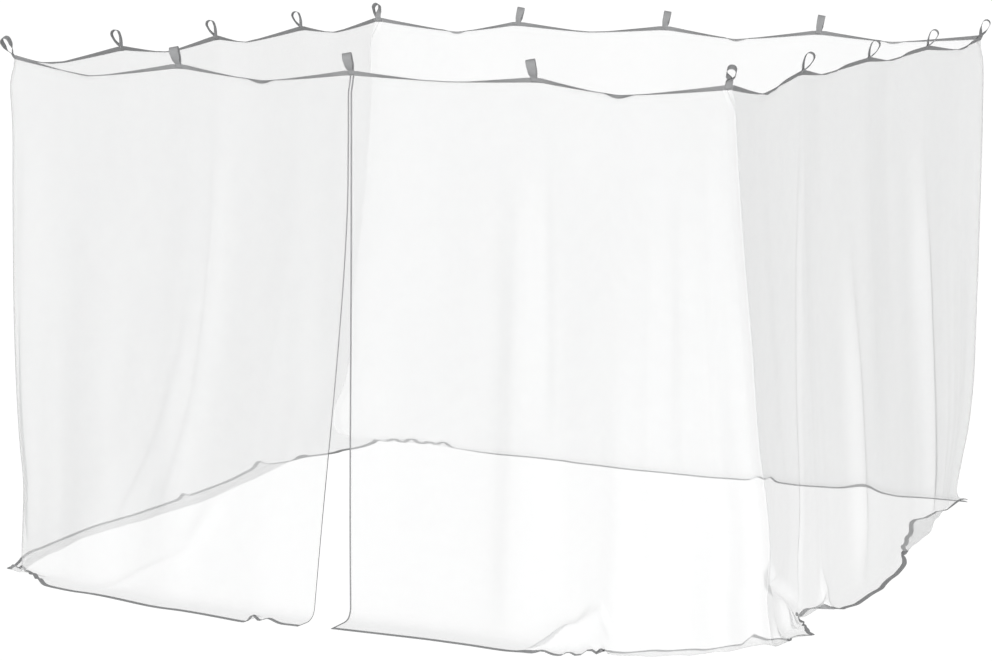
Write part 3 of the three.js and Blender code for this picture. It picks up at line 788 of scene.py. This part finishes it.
def cloth_group(name, numbers, results):
    """A shader group with nothing in it yet that reads a place on the cloth and some numbers."""
    group = bpy.data.node_groups.new(name, "ShaderNodeTree")
    socket(group, "Cloth", "NodeSocketVector", "INPUT")
    for label, default in numbers.items():
        socket(group, label, "NodeSocketFloat", "INPUT", default)
    for label in results:
        socket(group, label, "NodeSocketFloat", "OUTPUT")
    make = NodeMaker(group)
    return group, make, make.add("NodeGroupInput").outputs


def thread_group():
    """Threads laid both ways: how much they cover, and how high they stand."""
    name, middle, steep, soft = "Threads both ways", 0.5, 4.0, 0.5
    if name in bpy.data.node_groups:
        return bpy.data.node_groups[name]
    group, make, given = cloth_group(name, {
        "Pitch along": 0.002, "Pitch across": 0.002, "Thread share": 0.4, "Slant": 0.0, "Wander": 0.0,
    }, ("Cover", "Height"))
    noise = make.add("ShaderNodeTexNoise", {"Vector": given["Cloth"], "Scale": 170.0, "Detail": 2.0})
    centred = make.vector("SUBTRACT", noise.outputs["Color"], (middle, middle, middle))
    strayed = make.vector("SCALE", centred, scale=given["Wander"])
    bent = make.vector("ADD", given["Cloth"], strayed)
    apart = make.add("ShaderNodeSeparateXYZ", {"Vector": bent}).outputs
    slanted = make.math("MULTIPLY_ADD", apart["Y"], given["Slant"], apart["X"])
    half_thread = make.math("MULTIPLY", given["Thread share"], 0.5)
    covers, heights = [], []
    for place, pitch in ((slanted, "Pitch along"), (apart["Y"], "Pitch across")):
        turns = make.math("DIVIDE", place, given[pitch])
        away = make.math("DIVIDE", make.math("PINGPONG", turns, 0.5), half_thread)
        rise = make.math("SUBTRACT", 1.0, make.math("MULTIPLY", away, away), clamp=True)
        covers.append(make.math("SMOOTH_MIN", make.math("MULTIPLY", rise, steep), 1.0, soft, clamp=True))
        heights.append(make.math("SQRT", rise))
    make.add("NodeGroupOutput", {
        "Cover": make.math("MAXIMUM", *covers), "Height": make.math("MAXIMUM", *heights)})
    return group


def uneven_group():
    """Slow and fine unevenness of a cloth, as a shade about 1."""
    name, middle, fine_share = "Uneven cloth", 0.5, 0.5
    if name in bpy.data.node_groups:
        return bpy.data.node_groups[name]
    group, make, given = cloth_group(
        name, {"Slow scale": 3.0, "Fine scale": 60.0, "Amount": 0.1}, ("Shade",))
    parts = []
    for scale in ("Slow scale", "Fine scale"):
        noise = make.add("ShaderNodeTexNoise", {
            "Vector": given["Cloth"], "Scale": given[scale], "Detail": 3.0, "Roughness": 0.55})
        parts.append(make.math("SUBTRACT", noise.outputs["Fac"], middle))
    slow, fine = parts
    both = make.math("MULTIPLY_ADD", fine, fine_share, slow)
    scaled = make.math("MULTIPLY", both, given["Amount"])
    make.add("NodeGroupOutput", {"Shade": make.math("ADD", scaled, 1.0)})
    return group


def new_material(name):
    """A material with a matt surface."""
    material = bpy.data.materials.new(name)
    material.use_nodes = True
    material.node_tree.nodes.clear()
    make = NodeMaker(material.node_tree)
    surface = make.add("ShaderNodeBsdfPrincipled", {"Roughness": 1.0})
    make.add("ShaderNodeOutputMaterial", {"Surface": surface.outputs[0]})
    return material, make, surface


def cloth_place(make):
    """The place on a piece's own cloth, in metres."""
    return make.add("ShaderNodeUVMap", uv_map=CLOTH_MAP).outputs["UV"]


def colour_times(make, colour, shade):
    """A colour made lighter and darker by a number that changes over the cloth."""
    node = make.add("ShaderNodeMix", {"Factor": 1.0, "A": (*colour, 1.0), "B": shade},
                    data_type="RGBA", blend_type="MULTIPLY")
    return node.outputs["Result"]


def net_material(scene):
    """Sheer white mesh, which hides more of what is behind it the more it is seen aslant."""
    material, make, surface = new_material(NET_FINISH)
    colours, pitch, cloth = scene.net_colours, scene.net_sizes.mesh_pitch, cloth_place(make)
    threads = make.effect(thread_group(), {
        "Cloth": cloth, "Pitch along": pitch, "Pitch across": pitch, "Thread share": 0.32,
        "Wander": pitch * 2.5})
    shade = make.effect(uneven_group(), {
        "Cloth": cloth, "Slow scale": 2.2, "Fine scale": 18.0, "Amount": 0.06})["Shade"]
    weave = make.math("MULTIPLY_ADD", threads["Cover"], NET_WEAVE, NET_GROUND)
    cover = make.math("MULTIPLY", make.math("MULTIPLY", weave, shade), colours.cover, clamp=True)
    aslant = make.add("ShaderNodeLayerWeight", {"Blend": 0.5}).outputs["Facing"]
    square_on = make.math("MAXIMUM", make.math("SUBTRACT", 1.0, aslant), SQUARE_LEAST)
    layers = make.math("POWER", square_on, ASLANT_POWER)
    seen_through = make.math("POWER", make.math("SUBTRACT", 1.0, cover), layers)
    hidden = make.math("SUBTRACT", 1.0, seen_through)
    seen = make.add("ShaderNodeLightPath").outputs["Is Camera Ray"]
    stops = make.math("MULTIPLY_ADD", seen, 1.0 - LIGHT_STOPPED, LIGHT_STOPPED)
    make.feed(surface, {
        "Alpha": make.math("MULTIPLY", hidden, stops),
        "Base Color": colour_times(make, colours.net, shade),
        "Specular IOR Level": NET_SHINE})
    return material


def tape_material(scene):
    """Woven grey tape with slanting ribs."""
    material, make, surface = new_material(TAPE_FINISH)
    pitch, cloth = scene.net_sizes.tape_pitch, cloth_place(make)
    height = make.effect(thread_group(), {
        "Cloth": cloth, "Pitch along": pitch, "Pitch across": pitch * 2, "Thread share": 0.85,
        "Slant": 0.6})["Height"]
    uneven = make.effect(uneven_group(), {
        "Cloth": cloth, "Slow scale": 9.0, "Fine scale": 160.0, "Amount": 0.22})["Shade"]
    # Painted shade: the tape's colour is darker down between the ribs and lighter on their crowns,
    # following the threads' height
    ribs = make.math("MULTIPLY_ADD", height, TAPE_GROOVE_SHADE, TAPE_GROUND)
    shade = make.math("MULTIPLY", ribs, uneven)
    bump = make.add("ShaderNodeBump", {"Strength": 0.35, "Distance": 0.0002, "Height": height})
    make.feed(surface, {
        "Base Color": colour_times(make, scene.net_colours.tape, shade),
        "Normal": bump.outputs["Normal"],
        "Specular IOR Level": TAPE_SHINE})
    return material


def thread_material(scene):
    """Twisted sewing thread."""
    material, make, surface = new_material(THREAD_FINISH)
    place = make.add("ShaderNodeTexCoord").outputs["Object"]
    shade = make.effect(uneven_group(), {
        "Cloth": place, "Slow scale": 20.0, "Fine scale": 900.0, "Amount": 0.3})["Shade"]
    make.feed(surface, {"Base Color": colour_times(make, scene.net_colours.thread, shade)})
    return material


FINISHES = {NET_FINISH: net_material, TAPE_FINISH: tape_material, THREAD_FINISH: thread_material}


def finish_named(scene, name):
    """One of the finishes, made when it is first wanted."""
    return bpy.data.materials.get(name) or FINISHES[name](scene)


def ends_by_door(panel, share, gap):
    """Where a panel starts and ends along its side, short of the door by a share of its tape, and a gap."""
    _, start, end, door = PANELS[panel]
    tape = DOOR_TAPE[panel][1] * share if door else 0
    return start + (tape if door == "start" else 0) + gap, end - (tape if door == "end" else 0) - gap


def heading_stations(side, count):
    """Points along a side's heading, at even widths from its lower edge."""
    at = columns(TAPE_ENDS, SIDE - TAPE_ENDS)
    return turned(heading_across(side, at, np.linspace(0, HEADING_WIDTH, count)), side)


def hem_stations(panel, start, end, count):
    """Points along a panel's hem, at even distances up from it."""
    side, above = PANELS[panel][0], np.linspace(start, end, count)
    points, _ = wall_points(side, columns(*ends_by_door(panel, 1.0, TAPE_ENDS)), lambda length: above)
    return turned(points, side)


def door_stations(panel, shares):
    """Points down a door edge, at shares of the tape's width from the edge towards the net."""
    side, start, end, door = PANELS[panel]
    edge, inwards = (end, -1) if door == "end" else (start, 1)
    top, foot = DOOR_TAPE[panel]
    points, above = wall_points(side, edge + inwards * np.array([0.0, top]), net_rows(0.0))
    width = mix(foot, top, above[0] / above[0, 0]) / top
    points = points[0][:, None] + (points[1] - points[0])[:, None] * (width[:, None] * shares)[..., None]
    return turned(points, side)


def with_seam_turn(points, above, places, first):
    """Adds the narrow strip that is turned inwards along a corner's seam, running out at the floor."""
    edge = 0 if first else -1
    low, high = SEAM_GROWS
    width = SEAM_TURN * smooth(points[edge, :, 2], FLOOR_Z + low, FLOOR_Z + high)
    strip = points[edge].copy()
    strip[:, :2] -= outward(places[edge, :1])[0] * np.maximum(width, SEAM_LEAST)[:, None]
    place = places[edge] + (-width if first else width)
    return tuple(np.insert(old, 0 if first else len(old), new, axis=0)
                 for old, new in ((points, strip), (above, above[edge]), (places, place)))


class NET_OT_walls(Operator):
    """Make the five sheer panels of the net"""

    bl_idname = "pavilion_net.walls"
    bl_label = "Sheer walls"
    bl_options = {"REGISTER", "UNDO"}

    def execute(self, context):
        finish = finish_named(context.scene, NET_FINISH)
        for panel, (side, *_) in PANELS.items():
            at = columns(*ends_by_door(panel, DOOR_TUCK, 0.0))
            points, above = wall_points(side, at, net_rows(HEM_WIDTH - NET_TUCK))
            tucked = heading_across(side, at, (0.0, NET_TUCK))[:, ::-1]
            points = np.concatenate([tucked, points[:, 1:]], 1)
            top = above[:, :1]
            above = np.concatenate([top + HEADING_WIDTH - NET_TUCK, top, above[:, 1:]], 1)
            places = np.broadcast_to(at[:, None], above.shape)
            for at_corner, first in ((at[0] == 0, True), (at[-1] == SIDE, False)):
                if at_corner:
                    points, above, places = with_seam_turn(points, above, places, first)
            uvs = np.stack([places, above], -1) * MM
            piece = sheet_piece(f"sheer_{panel}", turned(points, side), uvs)
            finish_piece(piece, finish, [f"net_{panel}"])
        return {"FINISHED"}


class NET_OT_headings(Operator):
    """Make the tape along the top of each side"""

    bl_idname = "pavilion_net.headings"
    bl_label = "Heading tapes"
    bl_options = {"REGISTER", "UNDO"}

    def execute(self, context):
        finish = finish_named(context.scene, TAPE_FINISH)
        for side in TURN:
            piece = tape_piece(f"tape_heading_{side}", heading_stations(side, HEADING_STATIONS)[:, ::-1])
            finish_piece(piece, finish, [f"heading_{side}"])
        return {"FINISHED"}


class NET_OT_hem_tapes(Operator):
    """Make the tape along the hem of each panel"""

    bl_idname = "pavilion_net.hem_tapes"
    bl_label = "Hem tapes"
    bl_options = {"REGISTER", "UNDO"}

    def execute(self, context):
        finish = finish_named(context.scene, TAPE_FINISH)
        for panel in PANELS:
            piece = tape_piece(f"tape_hem_{panel}", hem_stations(panel, 0.0, HEM_WIDTH, HEM_STATIONS))
            finish_piece(piece, finish, [f"hem_tape_{panel}"])
        return {"FINISHED"}


class NET_OT_door_tapes(Operator):
    """Make the narrow tape down the two edges of the door slit"""

    bl_idname = "pavilion_net.door_tapes"
    bl_label = "Door tapes"
    bl_options = {"REGISTER", "UNDO"}

    def execute(self, context):
        finish = finish_named(context.scene, TAPE_FINISH)
        for panel in DOOR_TAPE:
            stations = door_stations(panel, np.linspace(0, 1, DOOR_STATIONS))
            piece = tape_piece(f"tape_door_{panel}", stations)
            finish_piece(piece, finish, [f"door_tape_{panel}"])
        return {"FINISHED"}


def loop_line():
    """The middle of a loop's tape from one sewn end over the eye to the other, outwards and up."""
    sewn_steps, leg_steps, eye_steps = LOOP_STEPS
    leg = TAPE_THICK / 2 + TAPE_GAP + LOOP_THICK / 2
    eye = LOOP_EYE + LOOP_THICK / 2
    centre = LOOP_LENGTH - LOOP_EYE
    sewn = np.column_stack([np.full(sewn_steps, leg), np.linspace(-LOOP_LAP, LOOP_NECK, sewn_steps)])
    t = np.linspace(0, 1, leg_steps)[1:, None]
    rise = bend_curve(sewn[-1], np.array([eye, centre / 2]), np.array([eye, centre]), t)
    angle = np.linspace(0, math.pi / 2, eye_steps)[1:]
    top = np.column_stack([eye * np.cos(angle), centre + eye * np.sin(angle)])
    half = np.concatenate([sewn, rise, top])
    return np.concatenate([half, (half * [-1, 1])[-2::-1]])


def loop_piece(sizes):
    """One loop: a strip of tape with soft edges, gathered at its root."""
    line = loop_line()
    tangent = np.gradient(line, axis=0)
    tangent /= np.linalg.norm(tangent, axis=1, keepdims=True)
    normal = np.column_stack([tangent[:, 1], -tangent[:, 0]])
    share = smooth(line[:, 1], LOOP_NECK, LOOP_LENGTH * LOOP_FULL)
    width = mix(sizes.loop_root, sizes.loop_width, share) / MM
    outline = LOOP_FACE + [(across, -high) for across, high in reversed(LOOP_FACE)]
    ring = []
    for across, high in outline:
        out, up = (line + normal * high * (LOOP_THICK / 2)).T
        ring.append(np.column_stack([out, across * width, up]))
    around = np.array([across for across, _ in outline]) * sizes.loop_width
    piece = tube_piece("one_loop", np.stack(ring, 1) * MM, run_length(line) * MM, around)
    up = np.clip(line[:, 1] / LOOP_LENGTH, 0, 1)
    leg = line[0, 0]
    spread = np.sign(line[:, 0]) * np.maximum(0, np.abs(line[:, 0]) - leg) * MM
    sides = len(outline)
    mark_points(piece.data, up=np.repeat(up, sides), spread=np.repeat(spread, sides))
    return piece


def loop_places():
    """Where each loop stands, its turn round the net, its twist and pinch, and the node it stands for."""
    places = []
    for side, turn in TURN.items():
        for number in range(SPANS):
            at = np.array([number * SPAN])
            out = outward(at)[0]
            height = ROOT_Z + near_corners(side, at, CORNER_RISE, RISE_REACH)
            spot = np.append(plan_point(side, at)[0], height)
            angle = math.atan2(out[1], out[0]) + math.radians(turn)
            corner = CORNERS[side][0]
            node = f"loop_{side}_{number}" if number else f"loop_corner_{corner}"
            twist = math.radians(LOOP_TWIST[side if number else corner])
            pinch = 0.0 if number else LOOP_PINCH.get(corner, 0.0)
            places.append((turned(spot[None], side)[0], angle, twist, pinch, node))
    return places


def loop_tree():
    """Sets one loop on every point, turned, twisted and pinched as the point says, as plain mesh."""
    tree = bpy.data.node_groups.new("Loops on the heading", "GeometryNodeTree")
    socket(tree, "Points", "NodeSocketGeometry", "INPUT")
    socket(tree, "Loop", "NodeSocketObject", "INPUT")
    socket(tree, "Lean", "NodeSocketFloat", "INPUT", LOOP_LEAN)
    socket(tree, "Finish", "NodeSocketMaterial", "INPUT")
    socket(tree, "Loops", "NodeSocketGeometry", "OUTPUT")
    make = NodeMaker(tree)
    given = make.add("NodeGroupInput").outputs
    shape = make.add("GeometryNodeObjectInfo", {"Object": given["Loop"]}).outputs["Geometry"]
    angles = make.add("ShaderNodeCombineXYZ", {"Y": given["Lean"], "Z": make.mark("turn")})
    placed = make.add("GeometryNodeInstanceOnPoints", {
        "Points": given["Points"], "Instance": shape, "Rotation": angles.outputs[0]})
    plain = make.add("GeometryNodeRealizeInstances", {"Geometry": placed.outputs[0]})
    up = make.mark("up")
    drawn = make.math("MULTIPLY", make.mark("spread"), make.mark("pinch"))
    drawn = make.math("MULTIPLY", drawn, make.ease(up, PINCH_ENDS, 1.0, 0.0))
    inwards = make.vector("SCALE", make.mark("way", "FLOAT_VECTOR"), scale=drawn)
    place = make.add("GeometryNodeInputPosition").outputs[0]
    twisted = make.add("ShaderNodeVectorRotate", {
        "Vector": make.vector("SUBTRACT", place, inwards),
        "Center": make.mark("root", "FLOAT_VECTOR"), "Axis": make.mark("axis", "FLOAT_VECTOR"),
        "Angle": make.math("MULTIPLY", make.mark("twist"), make.ease(up, TWIST_GROWS, 0.0, 1.0)),
    }, rotation_type="AXIS_ANGLE")
    shaped = make.add("GeometryNodeSetPosition", {
        "Geometry": plain.outputs[0], "Position": twisted.outputs[0]})
    finished = make.add("GeometryNodeSetMaterial", {
        "Geometry": shaped.outputs[0], "Material": given["Finish"]})
    make.add("NodeGroupOutput", {"Loops": finished.outputs[0]})
    return tree


def run_tree(name, tree, carrier, values):
    """Runs a node tree on a carrier object and gives the result back as a plain mesh object."""
    modifier = carrier.modifiers.new(name, "NODES")
    modifier.node_group = tree
    for item in tree.interface.items_tree:
        if item.in_out == "INPUT" and item.name in values:
            modifier[item.identifier] = values[item.name]
    carrier.update_tag()
    graph = bpy.context.evaluated_depsgraph_get()
    mesh = bpy.data.meshes.new_from_object(carrier.evaluated_get(graph), depsgraph=graph)
    mesh.name = name
    carrier.modifiers.remove(modifier)
    bpy.data.objects.remove(carrier)
    piece = bpy.data.objects.new(name, mesh)
    bpy.context.scene.collection.objects.link(piece)
    return piece


class NET_OT_loops(Operator):
    """Make the tape loops that the net hangs by"""

    bl_idname = "pavilion_net.loops"
    bl_label = "Hanging loops"
    bl_options = {"REGISTER", "UNDO"}

    def execute(self, context):
        finish = finish_named(context.scene, TAPE_FINISH)
        shape = loop_piece(context.scene.net_sizes)
        spots, turns, twists, pinches, nodes = zip(*loop_places())
        carrier = new_object("loop_points", spots, [])
        c, s = np.cos(turns), np.sin(turns)
        lean_c, lean_s = np.full(len(c), math.cos(LOOP_LEAN)), np.full(len(c), math.sin(LOOP_LEAN))
        mark_points(
            carrier.data, turn=turns, twist=twists, pinch=pinches, root=spots,
            axis=np.column_stack([lean_s * c, lean_s * s, lean_c]),
            way=np.column_stack([lean_c * c, lean_c * s, -lean_s]))
        piece = run_tree("hanging_loops", loop_tree(), carrier,
                         {"Loop": shape, "Lean": LOOP_LEAN, "Finish": finish})
        bpy.data.objects.remove(shape)
        finish_piece(piece, finish, nodes)
        return {"FINISHED"}


def stitch_tree():
    """Stitches along lines: each lies along its line, flat on the tape."""
    tree = bpy.data.node_groups.new("Stitches along tape", "GeometryNodeTree")
    socket(tree, "Lines", "NodeSocketGeometry", "INPUT")
    for name in ("Pitch", "Length", "Width", "Height"):
        socket(tree, name, "NodeSocketFloat", "INPUT", 0.004)
    socket(tree, "Finish", "NodeSocketMaterial", "INPUT")
    socket(tree, "Stitches", "NodeSocketGeometry", "OUTPUT")
    make = NodeMaker(tree)
    given = make.add("NodeGroupInput").outputs
    lines = make.add("GeometryNodeMeshToCurve", {"Mesh": given["Lines"]}).outputs[0]
    even = make.add("GeometryNodeResampleCurve", {"Curve": lines, "Length": given["Pitch"]}, mode="LENGTH")
    along = make.add("GeometryNodeInputTangent").outputs[0]
    first = make.add("FunctionNodeAlignRotationToVector", {"Vector": along}, axis="X")
    second = make.add("FunctionNodeAlignRotationToVector", {
        "Rotation": first.outputs[0], "Vector": make.mark("lay", "FLOAT_VECTOR")}, axis="Z", pivot_axis="X")
    bead = make.add("GeometryNodeMeshIcoSphere", {"Radius": 0.5, "Subdivisions": 1}).outputs["Mesh"]
    size = make.add("ShaderNodeCombineXYZ", {
        "X": given["Length"], "Y": given["Width"], "Z": given["Height"]}).outputs[0]
    placed = make.add("GeometryNodeInstanceOnPoints", {
        "Points": even.outputs[0], "Instance": bead, "Rotation": second.outputs[0], "Scale": size})
    plain = make.add("GeometryNodeRealizeInstances", {"Geometry": placed.outputs[0]})
    finished = make.add("GeometryNodeSetMaterial", {
        "Geometry": plain.outputs[0], "Material": given["Finish"]})
    make.add("NodeGroupOutput", {"Stitches": finished.outputs[0]})
    return tree


def stitch_piece(name, scene, tree, tapes):
    """Stitches along one station of each tape, facing as the tape does there."""
    points, lays, edges, start = [], [], [], 0
    for stations in tapes:
        points.append(stations[:, STITCH_ROW])
        lays.append(grid_normals(stations)[:, STITCH_ROW])
        edges += [(i, i + 1) for i in range(start, start + len(stations) - 1)]
        start += len(stations)
    carrier = new_object(f"{name}_lines", np.concatenate(points), [], edges=edges)
    mark_points(carrier.data, lay=np.concatenate(lays))
    sizes, finish = scene.net_sizes, finish_named(scene, THREAD_FINISH)
    piece = run_tree(name, tree, carrier, {
        "Pitch": sizes.stitch_pitch, "Length": sizes.stitch_length, "Width": sizes.stitch_width,
        "Height": TAPE_THICK * MM + sizes.stitch_width, "Finish": finish})
    piece.data.polygons.foreach_set("use_smooth", [True] * len(piece.data.polygons))
    finish_piece(piece, finish, [])


class NET_OT_stitching(Operator):
    """Sew the tapes to the net"""

    bl_idname = "pavilion_net.stitching"
    bl_label = "Stitching"
    bl_options = {"REGISTER", "UNDO"}

    def execute(self, context):
        scene, tree = context.scene, stitch_tree()
        heads = [heading_stations(side, STITCH_STATIONS) for side in TURN]
        hems = [hem_stations(panel, HEM_WIDTH, 0.0, STITCH_STATIONS) for panel in PANELS]
        doors = [door_stations(panel, np.linspace(1, 0, DOOR_STATIONS)) for panel in DOOR_TAPE]
        stitch_piece("stitching_heading", scene, tree, heads)
        stitch_piece("stitching_hem", scene, tree, hems)
        stitch_piece("stitching_door", scene, tree, doors)
        return {"FINISHED"}


def pale_floor(strength):
    """A round floor that glows a little and turns up at its rim."""
    angle = np.linspace(0, 2 * math.pi, FLOOR_SIDES, endpoint=False)
    circle = FLOOR_RADIUS * np.column_stack([np.cos(angle), np.sin(angle)])
    rings = [np.column_stack([reach * circle, np.full(FLOOR_SIDES, rise * RIM_HEIGHT)])
             for reach, rise in FLOOR_RINGS]
    points = np.concatenate([np.zeros((1, 3)), *rings]) + [0, 0, FLOOR_Z * MM - FLOOR_GAP]
    sides = [(i, (i + 1) % FLOOR_SIDES) for i in range(FLOOR_SIDES)]
    faces = [(0, 1 + i, 1 + k) for i, k in sides]
    for ring in range(len(FLOOR_RINGS) - 1):
        inner = 1 + ring * FLOOR_SIDES
        outer = inner + FLOOR_SIDES
        faces += [(inner + i, outer + i, outer + k, inner + k) for i, k in sides]
    floor = new_object("pale_floor", points, faces)
    material, make, surface = new_material("pale_floor")
    make.feed(surface, {
        "Base Color": (FLOOR_GREY, FLOOR_GREY, FLOOR_GREY, 1), "Specular IOR Level": 0.0,
        "Emission Color": (1, 1, 1, 1), "Emission Strength": strength})
    floor.data.materials.append(material)
    floor.visible_diffuse = floor.visible_glossy = False
    floor.visible_transmission = floor.visible_shadow = False
    return floor


def studio_world(levels):
    """Light from all round, with more from the front and back and from above and below."""
    world = bpy.data.worlds.new("studio")
    world.use_nodes = True
    make = NodeMaker(world.node_tree)
    way = make.add("ShaderNodeTexCoord").outputs["Generated"]
    front = (math.sin(LIGHT_TURN), -math.cos(LIGHT_TURN), 0.0)
    lobes = ((front, levels.front_back, FRONT_NARROW), ((0, 0, 1), levels.above_below, ABOVE_NARROW))
    level = levels.all_round
    for axis, strength, narrow in lobes:
        facing = make.math("ABSOLUTE", make.vector("DOT_PRODUCT", way, axis))
        lobe = make.math("MULTIPLY", make.math("POWER", facing, narrow), strength)
        level = make.math("ADD", lobe, level)
    make.feed(world.node_tree.nodes["Background"], {"Color": (1, 1, 1, 1), "Strength": level})
    return world


def net_camera():
    """The camera in front of the net, to the right of its door."""
    camera = bpy.data.objects.new("camera", bpy.data.cameras.new("camera"))
    camera.location = CAMERA_AT
    camera.rotation_euler = (math.pi / 2 + CAMERA_PITCH, 0, CAMERA_TURN)
    camera.data.sensor_width = CAMERA_SENSOR
    camera.data.lens = CAMERA_LENS
    camera.data.clip_end = CAMERA_SEES
    return camera


class NET_OT_stage(Operator):
    """Set up the pale floor, the studio's light and the camera"""

    bl_idname = "pavilion_net.stage"
    bl_label = "Stage"
    bl_options = {"REGISTER", "UNDO"}

    def execute(self, context):
        scene = context.scene
        floor = pale_floor(scene.studio_levels.floor)
        scene.world = studio_world(scene.studio_levels)
        camera = net_camera()
        scene.collection.objects.link(camera)
        scene.camera = camera
        scene.view_settings.view_transform = "Standard"
        scene.cycles.transparent_max_bounces = SHEER_LAYERS
        return {"FINISHED"}


class NET_OT_cloth(Operator):
    """A step that leaves the pieces as they are"""

    bl_idname = "pavilion_net.cloth"
    bl_label = "Cloth sizes"
    bl_options = {"REGISTER", "UNDO"}

    def execute(self, context):
        return {"FINISHED"}


class NET_PT_panel(Panel):
    """Sizes, colours and the steps that make the net"""

    bl_label = "Mosquito net"
    bl_idname = "NET_PT_panel"
    bl_space_type = "VIEW_3D"
    bl_region_type = "UI"
    bl_category = "Net"

    def draw(self, context):
        layout, scene = self.layout, context.scene
        for group in (scene.net_sizes, scene.net_colours, scene.studio_levels):
            box = layout.box()
            for name in group.__annotations__:
                box.prop(group, name)
        for step in STEPS:
            layout.operator(step.bl_idname)


GROUPS = (("net_sizes", NetSizes), ("net_colours", NetColours), ("studio_levels", StudioLevels))
STEPS = (
    NET_OT_stage, NET_OT_walls, NET_OT_headings, NET_OT_hem_tapes, NET_OT_door_tapes,
    NET_OT_loops, NET_OT_stitching, NET_OT_cloth,
)


def register():
    for _, group in GROUPS:
        bpy.utils.register_class(group)
    for step in (*STEPS, NET_PT_panel):
        bpy.utils.register_class(step)
    for name, group in GROUPS:
        setattr(bpy.types.Scene, name, PointerProperty(type=group))


def unregister():
    for name, _ in GROUPS:
        delattr(bpy.types.Scene, name)
    for step in (NET_PT_panel, *reversed(STEPS)):
        bpy.utils.unregister_class(step)
    for _, group in reversed(GROUPS):
        bpy.utils.unregister_class(group)


def main():
    register()
    bpy.ops.pavilion_net.stage()
    bpy.ops.pavilion_net.walls()
    bpy.ops.pavilion_net.headings()
    bpy.ops.pavilion_net.hem_tapes()
    bpy.ops.pavilion_net.door_tapes()
    bpy.ops.pavilion_net.loops()
    bpy.ops.pavilion_net.stitching()
    bpy.ops.pavilion_net.cloth()


if __name__ == "__main__":
    main()
